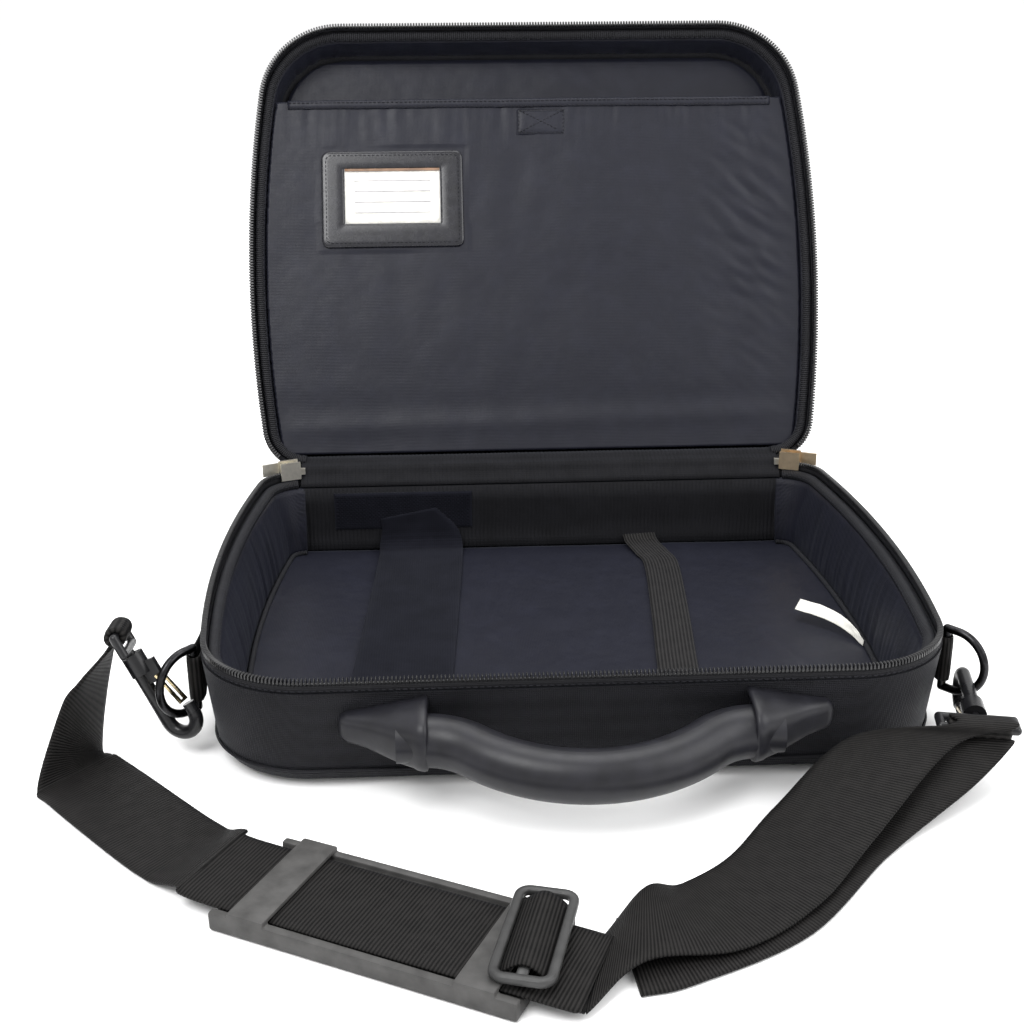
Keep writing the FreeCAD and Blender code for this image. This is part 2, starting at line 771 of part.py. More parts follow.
def build_ring_and_tab(label, side):
    """D-shaped wire ring on an upright bar, held by a folded webbing tab on the side wall."""
    name = f"d_ring_{label}"
    bend = size("ring_bend")
    parts = [cylinder(f"{name}_bar", "ring_wire", "2 * ring_bend", Vector(0, 0, -bend))]
    for level in (-bend, bend):
        parts.append(ball(f"{name}_corner", "ring_wire", Vector(0, 0, level)))
        parts.append(cylinder(f"{name}_leg", "ring_wire", f"{RING_LEG}",
                              Vector(0, 0, level), X_AXIS))
    bow = doc.addObject("Part::Torus", f"{name}_bow")
    bow.setExpression("Radius1", bound("ring_bend"))
    bow.setExpression("Radius2", bound("ring_wire"))
    bow.Angle3 = 180
    upright = Rotation(X_AXIS, 90).multiply(Rotation(Z_AXIS, -90))
    bow.Placement = Placement(Vector(RING_LEG, 0, 0), upright)
    parts.append(bow)
    ring = union(name, parts)
    ring.Placement = ring_frame(side)
    keep(ring, name)

    tab_name = f"d_ring_tab_{label}"
    tall = 24.0
    sleeve = cylinder(f"{tab_name}_sleeve", "ring_wire + 1.8", f"{tall}",
                      Vector(0, 0, -tall / 2))
    plate = block(f"{tab_name}_plate", (-0.8, 0, -tall / 2), (0.8, 32, tall / 2))
    lean = math.degrees(math.atan2(size("draft"), size(BASE_RIM)))
    run = math.degrees(math.atan2(3.4, 30))
    tilt = Rotation(Z_AXIS, -side * run).multiply(Rotation(Y_AXIS, side * lean))
    plate.Placement = Placement(Vector(-side * 2.55, -0.6, 0), tilt).multiply(plate.Placement)
    bore = cylinder(f"{tab_name}_bore", "ring_wire + 0.2", "40", Vector(0, 0, -20))
    tab = difference(tab_name, union(f"{tab_name}_web", [sleeve, plate]), [bore])
    tab.Placement = Placement(ring_frame(side).Base, Rotation())
    keep(tab, tab_name)


for label, side in SIDES:
    build_ring_and_tab(label, side)


# ---------------------------------------------------------------- snap hooks

# A hook's own frame: X runs from the swivel towards the bend, Y runs across the throat to
# the gate, Z is square to the flat of the hook.
SEAT = Vector(34.0, 6.3, 0)
GATE_PIVOT = Vector(12.5, 8.5, 0)
GATE_END = Vector(28.4, 12.8, 0)
TIP_START = 30.6


def ring_crossing(side):
    """Point on a side ring's lower bow that the hook hangs from."""
    reach = 12.0
    bend = size("ring_bend")
    drop = math.sqrt(bend ** 2 - (reach - RING_LEG) ** 2)
    return ring_frame(side).multVec(Vector(reach, 0, -drop))


def hook_frame(side):
    """The left hook hangs down beside the case; the right one lies back over its ring."""
    if side < 0:
        flat = Vector(0.94, -0.342, 0)
        lean = math.radians(28.7)
        along = flat * math.sin(lean) - Z_AXIS * math.cos(lean)
        across = flat * math.cos(lean) + Z_AXIS * math.sin(lean)
    else:
        along = Vector(0.2, 0.98, 0)
        across = -Z_AXIS
    along.normalize()
    square = along.cross(across)
    turn = Rotation(along, across, square, "XYZ")
    return Placement(ring_crossing(side) - turn.multVec(SEAT), turn)


def build_hook(label, side):
    """Snap hook body: swivel barrel, shoulder for the gate's pin, spine, bend and tip."""
    name = f"snap_hook_{label}"
    spine_y = SEAT.y + 0.2 - size("hook_bend")
    tip_y = SEAT.y + 0.2 + size("hook_bend")
    bend_x = 36.0
    spine = Vector(6, spine_y, 0)
    bow = doc.addObject("Part::Torus", f"{name}_bow")
    bow.setExpression("Radius1", bound("hook_bend"))
    bow.setExpression("Radius2", bound("hook_wire"))
    bow.Angle3 = 180
    bow.Placement = Placement(Vector(bend_x, SEAT.y + 0.2, 0), Rotation(Z_AXIS, -90))
    body = union(f"{name}_body", [
        cylinder(f"{name}_barrel", "5.5", "11", Vector(-2.5, 0, 0), X_AXIS),
        block(f"{name}_shoulder", (3, -1, -1.2), (14.6, 10.4, 1.2)),
        cylinder(f"{name}_spine", "hook_wire", f"{bend_x} - 6", spine, X_AXIS),
        bow,
        cylinder(f"{name}_tip", "hook_wire - 0.4", f"{bend_x} - {TIP_START}",
                 Vector(TIP_START, tip_y, 0), X_AXIS),
    ])
    hook = difference(name, body, [
        cylinder(f"{name}_bore", "2.1", "8", Vector(-3.5, 0, 0), X_AXIS),
        cylinder(f"{name}_head_room", "3.3", "3", Vector(4.3, 0, 0), X_AXIS),
        cylinder(f"{name}_pin_hole", "0.9", "6", GATE_PIVOT - Z_AXIS * 3),
    ])
    hook.Placement = hook_frame(side)
    keep(hook, name)


def build_gate(label, side):
    """Sprung wire gate: a square-wire loop hinged on a pin through the shoulder, closing on
    the hook's tip."""
    name = f"hook_gate_{label}"
    half = 2.9
    wire = 1.4
    reach = GATE_END - GATE_PIVOT
    parts = [cylinder(f"{name}_pin", "gate_pin", f"{2 * half - 0.4}",
                      Vector(0, 0, 0.2 - half))]
    for low in (-half, half - wire):
        parts.append(block(f"{name}_wire", (-1.2, -wire / 2, low),
                           (reach.Length + wire / 2, wire / 2, low + wire)))
    parts.append(block(f"{name}_end", (reach.Length - wire / 2, -wire / 2, 1 - half),
                       (reach.Length + wire / 2, wire / 2, half - 1)))
    gate = union(name, parts)
    gate.Placement = hook_frame(side).multiply(Placement(GATE_PIVOT, Rotation(X_AXIS, reach)))
    keep(gate, name)


EYE_FAR = -15.0
EYE_NEAR = -5.5
EYE_HALF = 17.0


def eye_frame(side):
    """The left eye has swivelled round its post; the right one lies flat with its hook."""
    turn = -30 if side < 0 else 0
    return hook_frame(side).multiply(Placement(Vector(), Rotation(X_AXIS, turn)))


def build_eye(label, side):
    """Swivel eye: a wire frame for the webbing, with a headed post inside the hook's barrel."""
    name = f"swivel_eye_{label}"
    parts = []
    for x in (EYE_FAR, EYE_NEAR):
        parts.append(cylinder(f"{name}_bar", "eye_wire", f"{2 * EYE_HALF}",
                              Vector(x, 0, -EYE_HALF)))
    for level in (-EYE_HALF, EYE_HALF):
        parts.append(cylinder(f"{name}_end", "eye_wire", f"{EYE_NEAR - EYE_FAR}",
                              Vector(EYE_FAR, 0, level), X_AXIS))
        for x in (EYE_FAR, EYE_NEAR):
            parts.append(ball(f"{name}_corner", "eye_wire", Vector(x, 0, level)))
    parts.append(cylinder(f"{name}_post", "2", "10.5", Vector(EYE_NEAR, 0, 0), X_AXIS))
    parts.append(cylinder(f"{name}_head", "3.1", "2", Vector(4.7, 0, 0), X_AXIS))
    eye = union(name, parts)
    eye.Placement = eye_frame(side)
    keep(eye, name)


for label, side in SIDES:
    build_hook(label, side)
    build_gate(label, side)
    build_eye(label, side)


# ---------------------------------------------------------------- shoulder strap

def triangle(first, second, third):
    return Part.Face(Part.makePolygon([first, second, third, first]))


def ribbon(stations, thick):
    """Flat strip of even thickness through stations (centre, half-width vector), as a closed
    shell of triangles, so that its twisted stretches stay exact."""
    centres = [Vector(*centre) for centre, _ in stations]
    rings = []
    for index, (_, half) in enumerate(stations):
        middle = centres[index]
        across = Vector(*half)
        ahead = centres[min(index + 1, len(centres) - 1)] - centres[max(index - 1, 0)]
        up = ahead.cross(across).normalize() * (thick / 2)
        rings.append([middle - across - up, middle + across - up,
                      middle + across + up, middle - across + up])
    faces = []
    for near, far in zip(rings, rings[1:]):
        for side in range(4):
            after = (side + 1) % 4
            faces.append(triangle(near[side], near[after], far[after]))
            faces.append(triangle(near[side], far[after], far[side]))
    for low, left, high, right in (rings[0], rings[-1]):
        faces.append(triangle(low, left, high))
        faces.append(triangle(low, high, right))
    shell = Part.Shell(faces)
    shell.sewShape()
    strip = Part.Solid(shell)
    if strip.Volume < 0:
        strip.reverse()
    return strip


# Half of the webbing's width where it is gathered to pass through an eye.
GATHERED = 14.0


def eye_loop(side):
    """Gathered webbing wrapped round the far bar of a swivel eye."""
    frame = eye_frame(side)
    half = GATHERED
    inner = size("eye_wire") + 0.3
    base = frame.multVec(Vector(EYE_FAR, 0, -half))
    way = frame.Rotation.multVec(Z_AXIS)
    outer = Part.makeCylinder(inner + size("strap_thick"), 2 * half, base, way)
    return outer.cut(Part.makeCylinder(inner, 2 * half, base, way))


def strap_feature(name, shape):
    item = doc.addObject("Part::Feature", name)
    item.Shape = shape
    keep(item, name)


def eye_station(side, back, across):
    """Where the webbing leaves an eye's loop: centre, and half of its gathered width as a
    vector that points to the webbing's outer edge."""
    frame = eye_frame(side)
    centre = frame.multVec(Vector(EYE_FAR - back, across, 0))
    half = frame.Rotation.multVec(Z_AXIS) * (side * GATHERED)
    return (centre.x, centre.y, centre.z), (half.x, half.y, half.z)


# Plan of the webbing from the left eye to the right eye and back to the buckle: centre of
# each station, and half of the width as a vector.
FLOOR = 1.4
ON_PAD = 7.3
LEFT_RUN = [
    eye_station(-1, -4.0, -6.0),
    ((-233.0, -109.0, 39.0), (1.0, 16.5, -11.0)),
    ((-238.2, -119.4, 20.6), (4.3, 13.3, -18.0)),
    ((-242.0, -127.0, FLOOR), (13.7, 15.0, 0.0)),
    ((-232.0, -138.0, FLOOR), (15.0, 17.0, 0.0)),
    ((-192.0, -182.0, FLOOR), (16.0, 16.6, 0.0)),
    ((-176.0, -198.0, FLOOR), (14.0, 18.4, 0.0)),
    ((-163.0, -210.0, ON_PAD), (11.5, 20.0, 0.0)),
    ((-150.0, -221.8, ON_PAD), (10.4, 20.5, 0.0)),
    ((-22.0, -286.2, ON_PAD), (10.4, 20.5, 0.0)),
    ((-8.0, -288.0, 3.8), (6.0, 22.2, 0.0)),
]
UPPER_RUN = [
    ((-6.2, -288.0, 3.8), (6.0, 22.2, 0.0)),
    ((14.0, -266.0, 9.0), (3.0, 22.8, 0.0)),
    ((42.0, -257.0, 4.6), (-9.0, 21.2, 0.0)),
    ((72.0, -235.0, 5.0), (-15.0, 17.4, 0.0)),
    ((102.0, -200.0, 9.0), (-17.6, 14.8, 0.0)),
    ((146.0, -163.0, 26.0), (-22.0, 6.0, 0.0)),
    eye_station(1, 5.6, -3.4),
]
RETURN_RUN = [
    eye_station(1, 5.6, 3.4),
    ((152.0, -174.0, 13.0), (-21.0, 9.0, 0.0)),
    ((112.0, -198.0, FLOOR), (-17.6, 14.8, 0.0)),
    ((68.0, -247.0, FLOOR), (-13.0, 19.0, 0.0)),
    ((24.0, -271.0, FLOOR), (-6.0, 22.2, 0.0)),
    ((6.0, -276.0, FLOOR), (-2.0, 23.0, 0.0)),
]


def build_webbing():
    thick = size("strap_thick")
    left = ribbon(LEFT_RUN, thick)
    right = ribbon(UPPER_RUN, thick)
    strap_feature("strap_webbing_left", Part.makeCompound([left, eye_loop(-1)]))
    strap_feature("strap_webbing_upper", Part.makeCompound([right, eye_loop(1)]))
    strap_feature("strap_webbing_return", ribbon(RETURN_RUN, thick))


build_webbing()

PAD_PLACE = Placement(Vector(-86.0, -254.0, 0), Rotation(Z_AXIS, -26.7))
PAD_LOW = 0.4
PAD_SEAT = 6.0
PAD_RAIL = 8.6
PAD_BAR = 10.8
RAIL_WIDE = 4.0
BAR_LONG = 17.0
BAR_AT = 50.0


def build_shoulder_pad():
    """Rubber pad: a channel for the webbing between two rails, with a bar over each end."""
    body = new_body("shoulder_pad")
    sketch = new_sketch(body, offset=str(PAD_LOW))
    half_long = size("shoulder_pad_long") / 2
    half_wide = size("shoulder_pad_wide") / 2
    add_polygon(sketch, [(-half_long, -half_wide), (half_long, -half_wide),
                         (half_long, half_wide), (-half_long, half_wide)])
    pad(body, sketch, str(PAD_SEAT - PAD_LOW))
    for way in (-1, 1):
        rail = new_sketch(body, offset=str(PAD_SEAT))
        low, high = sorted((way * half_wide, way * (half_wide - RAIL_WIDE)))
        add_polygon(rail, [(-half_long, low), (half_long, low), (half_long, high),
                           (-half_long, high)])
        pad(body, rail, str(PAD_RAIL - PAD_SEAT))
        bar = new_sketch(body, offset=str(PAD_RAIL))
        start = way * BAR_AT - BAR_LONG / 2
        add_polygon(bar, [(start, -half_wide), (start + BAR_LONG, -half_wide),
                          (start + BAR_LONG, half_wide), (start, half_wide)])
        pad(body, bar, str(PAD_BAR - PAD_RAIL))
    body.Placement = PAD_PLACE


def build_buckle():
    """Three-bar strap adjuster lying on the end of the shoulder pad."""
    body = new_body("strap_buckle")
    low = PAD_BAR + 0.4
    tall = 3.6
    sketch = new_sketch(body, offset=str(low))
    half_long = 13.0
    half_wide = 29.0
    add_polygon(sketch, [(-half_long, -half_wide), (half_long, -half_wide),
                         (half_long, half_wide), (-half_long, half_wide)])
    for middle in (-5.7, 5.7):
        add_polygon(sketch, [(middle - 3.5, -25), (middle + 3.5, -25),
                             (middle + 3.5, 25), (middle - 3.5, 25)])
    pad(body, sketch, str(tall))
    body.Placement = Placement(Vector(-30.0, -276.0, 0), Rotation(Z_AXIS, -15.0))


build_shoulder_pad()
build_buckle()


# ---------------------------------------------------------------- retaining straps inside

def build_inner_strap(name, floor_points, flap_points, thick):
    """Strap that lies on the floor and turns up the hinge panel."""
    body = new_body(name)
    floor = new_sketch(body, offset=f"{FLOOR_TOP} + 0.2")
    add_polygon(floor, floor_points)
    pad(body, floor, str(thick))
    back = size(PANEL_FACE) - 1.6
    flap = new_sketch(body, "XZ_Plane", str(-back))
    add_polygon(flap, flap_points)
    pad(body, flap, str(thick))


BACK_EDGE = size(PANEL_FACE) - 1.6
LOW = size(FLOOR_TOP) + 0.2
build_inner_strap(
    "hook_loop_strap",
    [(-118, -100), (-64, -100), (-53, BACK_EDGE), (-107, BACK_EDGE)],
    [(-107, LOW), (-53, LOW), (-60, 20), (-90, 39), (-107, 32)], 1.5)
build_inner_strap(
    "elastic_strap",
    [(46, -100), (68, -100), (85, 102), (76, BACK_EDGE), (54, BACK_EDGE), (63, 102)],
    [(54, LOW), (76, LOW), (74, 14), (53, 14)], 1.3)


def build_hook_patch():
    """Hook-and-loop patch sewn to the hinge panel behind the strap's end."""
    body = new_body("hook_patch")
    sketch = new_sketch(body, "XZ_Plane", str(-size(PANEL_FACE) + 0.1))
    add_polygon(sketch, [(-136, 20), (-46, 20), (-46, 45), (-136, 45)])
    pad(body, sketch, "1.2")


def build_care_tag():
    """Blank woven tag sewn into the floor's right edge and curling inwards."""
    stations = [((166.0, -24.0, 11.0), (0, 0, 3.0)), ((158.0, -6.0, 14.0), (0, 0, 5.0)),
                ((148.0, 8.0, 16.0), (0, 0, 6.0)), ((141.0, 20.0, 17.0), (0, 0, 6.5))]
    wires = []
    for centre, half in stations:
        middle = Vector(*centre)
        across = Vector(*half)
        through = Vector(0.25, 0.15, 0)
        corners = [middle - across - through, middle + across - through,
                   middle + across + through, middle - across + through]
        wires.append(Part.makePolygon(corners + corners[:1]))
    strap_feature("care_tag", Part.makeLoft(wires, True, True))


build_hook_patch()
build_care_tag()


# ---------------------------------------------------------------- inside of the lid

def build_lid_plate(name, x_range, up_range, depth, thick, opening=None):
    """Flat rectangular piece on the pocket panel: x range, distance up from the hinge line,
    depth below the panel's face, thickness and an optional window (x range, up range)."""
    body = new_body(name)
    sketch = new_sketch(body, offset=f"{POCKET_LEVEL} - {depth}")
    hinge = size("half_depth")
    for span_x, span_up in filter(None, ((x_range, up_range), opening)):
        near, far = hinge - span_up[1], hinge - span_up[0]
        add_polygon(sketch, [(span_x[0], near), (span_x[1], near),
                             (span_x[1], far), (span_x[0], far)])
    pad(body, sketch, str(thick))
    body.Placement = LID_OPEN


LABEL_X, LABEL_UP = (-142.0, -47.0), (149.0, 215.0)
WINDOW_X, WINDOW_UP = (-127.0, -62.0), (165.0, 203.0)
build_lid_plate("label_frame", LABEL_X, LABEL_UP, 1.9, 1.8, (WINDOW_X, WINDOW_UP))
build_lid_plate("label_card", (WINDOW_X[0] + 0.2, WINDOW_X[1] - 0.2),
                (WINDOW_UP[0] + 0.2, WINDOW_UP[1] - 0.2), 0.6, 0.5)
build_lid_plate("label_window", (WINDOW_X[0] + 0.2, WINDOW_X[1] - 0.2),
                (WINDOW_UP[0] + 0.2, WINDOW_UP[1] - 0.2), 1.1, 0.4)
build_lid_plate("lid_pocket_hem", (-166.0, 166.0), (245.0, 250.0), 1.3, 1.2)
build_lid_plate("lid_pocket_closure", (-10.5, 24.5), (225.0, 244.5), 1.5, 1.4)


# ---------------------------------------------------------------- checks and output

doc.recompute()
for item in doc.Objects:
    if "Invalid" in item.State or "Error" in item.State:
        raise ValueError(f"{item.Name} is {item.State}")
os.makedirs("parts", exist_ok=True)
for item in SUB_PARTS:
    shape = item.Shape
    if shape.isNull() or not shape.isValid() or shape.Volume <= 0:
        raise ValueError(f"{item.Label} has no valid shape")
    shape.exportStep(f"parts/{item.Label}.step")
print(len(SUB_PARTS), "sub-parts written")
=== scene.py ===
import bmesh
import bpy
import math
from mathutils import Matrix, Vector, noise


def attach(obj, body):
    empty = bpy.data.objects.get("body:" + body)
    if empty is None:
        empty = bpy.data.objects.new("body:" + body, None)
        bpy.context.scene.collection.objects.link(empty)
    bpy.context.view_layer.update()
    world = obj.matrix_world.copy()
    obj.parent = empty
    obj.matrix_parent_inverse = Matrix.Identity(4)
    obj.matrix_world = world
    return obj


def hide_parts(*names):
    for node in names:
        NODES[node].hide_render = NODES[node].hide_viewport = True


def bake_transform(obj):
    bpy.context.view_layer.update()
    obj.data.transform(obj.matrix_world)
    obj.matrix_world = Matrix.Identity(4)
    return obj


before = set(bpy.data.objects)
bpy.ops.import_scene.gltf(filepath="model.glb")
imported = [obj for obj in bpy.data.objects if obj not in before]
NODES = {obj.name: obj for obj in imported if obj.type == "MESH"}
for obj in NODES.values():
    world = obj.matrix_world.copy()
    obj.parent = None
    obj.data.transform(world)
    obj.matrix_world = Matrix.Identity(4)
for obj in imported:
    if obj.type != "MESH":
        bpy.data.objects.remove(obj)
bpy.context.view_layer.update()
scene = bpy.context.scene

# All shapes below are in millimetres and become metres in build_mesh.
MM = 0.001

# ---------------------------------------------------------------- the case's outline

HALF_WIDTH = 190.0
HALF_DEPTH = 150.0
PARTING = 60.0
CORNER_FRONT = Vector((127.498, -95.0))
CORNER_HINGE = Vector((154.480, 122.0))
SIDE_CENTRE = Vector((-639.0, 12.5))
FRONT_RADIUS = 55.0
HINGE_RADIUS = 28.0
SIDE_RADIUS = 829.0


def side_samples():
    """Rim points and outward normals of the right half, from the front's middle to the
    hinge edge's middle."""
    low = math.atan2(CORNER_FRONT.y - SIDE_CENTRE.y, CORNER_FRONT.x - SIDE_CENTRE.x)
    high = math.atan2(CORNER_HINGE.y - SIDE_CENTRE.y, CORNER_HINGE.x - SIDE_CENTRE.x)
    found = []
    for step in range(64):
        found.append((Vector((CORNER_FRONT.x * step / 64, -HALF_DEPTH)), Vector((0, -1))))
    for centre, radius, start, stop, steps in (
            (CORNER_FRONT, FRONT_RADIUS, -math.pi / 2, low, 48),
            (SIDE_CENTRE, SIDE_RADIUS, low, high, 96),
            (CORNER_HINGE, HINGE_RADIUS, high, math.pi / 2, 28)):
        for step in range(steps):
            angle = start + (stop - start) * step / steps
            out = Vector((math.cos(angle), math.sin(angle)))
            found.append((centre + out * radius, out))
    for step in range(73):
        found.append((Vector((CORNER_HINGE.x * (1 - step / 72), HALF_DEPTH)), Vector((0, 1))))
    return found


RIGHT = side_samples()
LOOP = RIGHT[:-1] + [(Vector((-p.x, p.y)), Vector((-n.x, n.y))) for p, n in reversed(RIGHT[1:])]
LENGTHS = [0.0]
for (here, _), (there, _) in zip(LOOP, LOOP[1:] + LOOP[:1]):
    LENGTHS.append(LENGTHS[-1] + (there - here).length)
AROUND = LENGTHS[-1]


def rim(distance):
    """Rim point and outward normal at a distance round the outline, from the front's middle
    anticlockwise."""
    distance %= AROUND
    low, high = 0, len(LOOP)
    while high - low > 1:
        middle = (low + high) // 2
        if LENGTHS[middle] <= distance:
            low = middle
        else:
            high = middle
    share = (distance - LENGTHS[low]) / max(LENGTHS[low + 1] - LENGTHS[low], 1e-9)
    (p0, n0), (p1, n1) = LOOP[low], LOOP[(low + 1) % len(LOOP)]
    return p0.lerp(p1, share), n0.lerp(n1, share).normalized()


def opening_distance(half_x):
    """Distance from the front's middle to where the outline reaches this x on the hinge side."""
    for (point, normal), length in zip(LOOP, LENGTHS):
        if point.y > 120 and point.x <= half_x + 1e-6 and normal.y > 0.05:
            return length
    return AROUND / 2


LID_TURN = Matrix.Rotation(math.radians(-115.0), 4, "X")
HINGE = Vector((0, HALF_DEPTH, PARTING))


def lid(point):
    """A point of the shut lid, moved to where it is with the lid open."""
    return LID_TURN @ (Vector(point) - HINGE) + HINGE


def same(point):
    """A point of the base, which stays where it is."""
    return Vector(point)


def rim_line(inset, height, start, stop, count, place):
    """Points round the rim from one distance to another, at one inset and height."""
    found = []
    for index in range(count + 1):
        point, normal = rim(start + (stop - start) * index / count)
        at = point - normal * inset
        found.append(place((at.x, at.y, height)))
    return found


# ---------------------------------------------------------------- mesh helpers

def build_mesh(name, points, faces, uvs, smooth=True):
    """Mesh object from points in millimetres; uvs holds one (u, v) per face corner, in metres."""
    mesh = bpy.data.meshes.new(name)
    mesh.from_pydata([Vector(p) * MM for p in points], [], faces)
    layer = mesh.uv_layers.new(name="UVMap")
    flat = [value for face in uvs for corner in face for value in corner]
    layer.data.foreach_set("uv", flat)
    mesh.polygons.foreach_set("use_smooth", [smooth] * len(faces))
    mesh.validate()
    mesh.update()
    obj = bpy.data.objects.new(name, mesh)
    scene.collection.objects.link(obj)
    return obj


def fix_normals(obj):
    """Weld double points and turn every face outwards."""
    work = bmesh.new()
    work.from_mesh(obj.data)
    bmesh.ops.remove_doubles(work, verts=work.verts, dist=1e-6)
    bmesh.ops.recalc_face_normals(work, faces=work.faces)
    work.to_mesh(obj.data)
    work.free()
    return obj


def loft(name, rings, closed_path=False, closed_ring=True):
    """Skin over rings of points, capped where a closed ring has an open path. u runs along
    the path and v round the ring."""
    count, size = len(rings), len(rings[0])
    along = [0.0]
    for index in range(count):
        after = rings[(index + 1) % count]
        along.append(along[-1] + (Vector(after[0]) - Vector(rings[index][0])).length * MM)
    around = [0.0]
    middle = rings[count // 2]
    for index in range(size):
        step = Vector(middle[(index + 1) % size]) - Vector(middle[index])
        around.append(around[-1] + step.length * MM)
    points = [p for ring in rings for p in ring]
    faces, uvs = [], []
    for i in range(count if closed_path else count - 1):
        for j in range(size if closed_ring else size - 1):
            i2, j2 = (i + 1) % count, (j + 1) % size
            faces.append((i * size + j, i2 * size + j, i2 * size + j2, i * size + j2))
            uvs.append(((along[i], around[j]), (along[i + 1], around[j]),
                        (along[i + 1], around[j + 1]), (along[i], around[j + 1])))
    if closed_ring and not closed_path:
        for i in (0, count - 1):
            faces.append(tuple(range(i * size, (i + 1) * size)))
            uvs.append(tuple((along[i], around[j]) for j in range(size)))
    return fix_normals(build_mesh(name, points, faces, uvs))


def merge(name, objects):
    """Join several new meshes into one object."""
    bpy.ops.object.select_all(action="DESELECT")
    for obj in objects:
        obj.select_set(True)
    bpy.context.view_layer.objects.active = objects[0]
    bpy.ops.object.join()
    objects[0].name = name
    objects[0].data.name = name
    return objects[0]


def curve_points(stations, per):
    """Catmull-Rom points through stations, per steps between each two."""
    padded = [stations[0] * 2 - stations[1]] + list(stations) + [stations[-1] * 2 - stations[-2]]
    found = []
    for i in range(1, len(padded) - 2):
        a, b, c, d = padded[i - 1:i + 3]
        for step in range(per):
            t = step / per
            found.append(0.5 * (2 * b + (c - a) * t + (2 * a - 5 * b + 4 * c - d) * t * t
                                + (3 * b - a - 3 * c + d) * t ** 3))
    found.append(stations[-1].copy())
    return found


def travel(points, index, closed=False):
    """Step from the point before to the point after, along a path."""
    if closed:
        return points[(index + 1) % len(points)] - points[index - 1]
    return points[min(index + 1, len(points) - 1)] - points[max(index - 1, 0)]


def spindle_faces(base, sides):
    """Faces of a small closed spindle of four rings, whose points start at base."""
    faces = []
    for row in range(3):
        low = base + row * sides
        for k in range(sides):
            after = (k + 1) % sides
            faces.append((low + k, low + after, low + sides + after, low + sides + k))
    faces.append(tuple(base + k for k in range(sides - 1, -1, -1)))
    faces.append(tuple(base + 3 * sides + k for k in range(sides)))
    return faces


def strip(name, centres, halves, thick, columns, ripple=0.0, seed=0):
    """Webbing of even thickness along centres, with half-width vectors and round edges."""
    rings = []
    for i, (centre, half) in enumerate(zip(centres, halves)):
        up = travel(centres, i).cross(half).normalized()
        top, bottom = [], []
        for j in range(columns + 1):
            share = -1 + 2 * j / columns
            swell = (thick / 2) * (1 - 0.45 * abs(share) ** 8)
            lift = ripple * noise.noise(Vector((i * 0.21, share * 1.3, seed)))
            place = centre + half * share
            top.append(place + up * (lift + swell))
            bottom.append(place + up * (lift - swell))
        rings.append(top + bottom[::-1])
    return loft(name, rings)


def tube(name, centres, radius, sides, closed=False):
    """Round bar along centres."""
    rings = []
    for i, centre in enumerate(centres):
        ahead = travel(centres, i, closed).normalized()
        side = ahead.cross(Vector((0, 0, 1)))
        if side.length < 0.1:
            side = ahead.cross(Vector((0, 1, 0)))
        side.normalize()
        up = side.cross(ahead)
        rings.append([centre + (side * math.cos(a) + up * math.sin(a)) * radius
                      for a in (2 * math.pi * k / sides for k in range(sides))])
    return loft(name, rings, closed_path=closed)


def around_case(name, section, place, half, step, change=None):
    """Sweep a section of (inset, height) points round the outline, from -half to half;
    change(distance, index, inset, height) may move them."""
    count = int(2 * half / step)
    rings = []
    for i in range(count + 1):
        distance = -half + 2 * half * i / count
        point, normal = rim(distance)
        ring = []
        for j, (inset, height) in enumerate(section):
            if change:
                inset, height = change(distance, j, inset, height)
            at = point - normal * inset
            ring.append(place((at.x, at.y, height)))
        rings.append(ring)
    return loft(name, rings)


def stitches(name, path, pitch, long, radius):
    """Thread stitches along a path of points, as one mesh of small spindles."""
    points, faces = [], []
    distance, target = 0.0, pitch / 2
    for here, there in zip(path, path[1:]):
        span = (there - here).length
        if span < 1e-6:
            continue
        way = (there - here) / span
        side = way.cross(Vector((0.3, 0.2, 1))).normalized()
        up = side.cross(way)
        while distance + span >= target:
            middle = here + way * (target - distance)
            base = len(points)
            for offset, fat in ((-0.5, 0.35), (-0.28, 1.0), (0.28, 1.0), (0.5, 0.35)):
                for k in range(5):
                    angle = 2 * math.pi * k / 5
                    points.append(middle + way * offset * long
                                  + (side * math.cos(angle) + up * math.sin(angle)) * radius * fat)
            faces += spindle_faces(base, 5)
            target += pitch
        distance += span
    uvs = [tuple((points[k][0] * MM, points[k][2] * MM) for k in face) for face in faces]
    return build_mesh(name, points, faces, uvs)


# ---------------------------------------------------------------- materials

# Scale of a Wave texture, in metres, whose ribs are one millimetre apart.
WAVES_AT_ONE_MM = 314.16


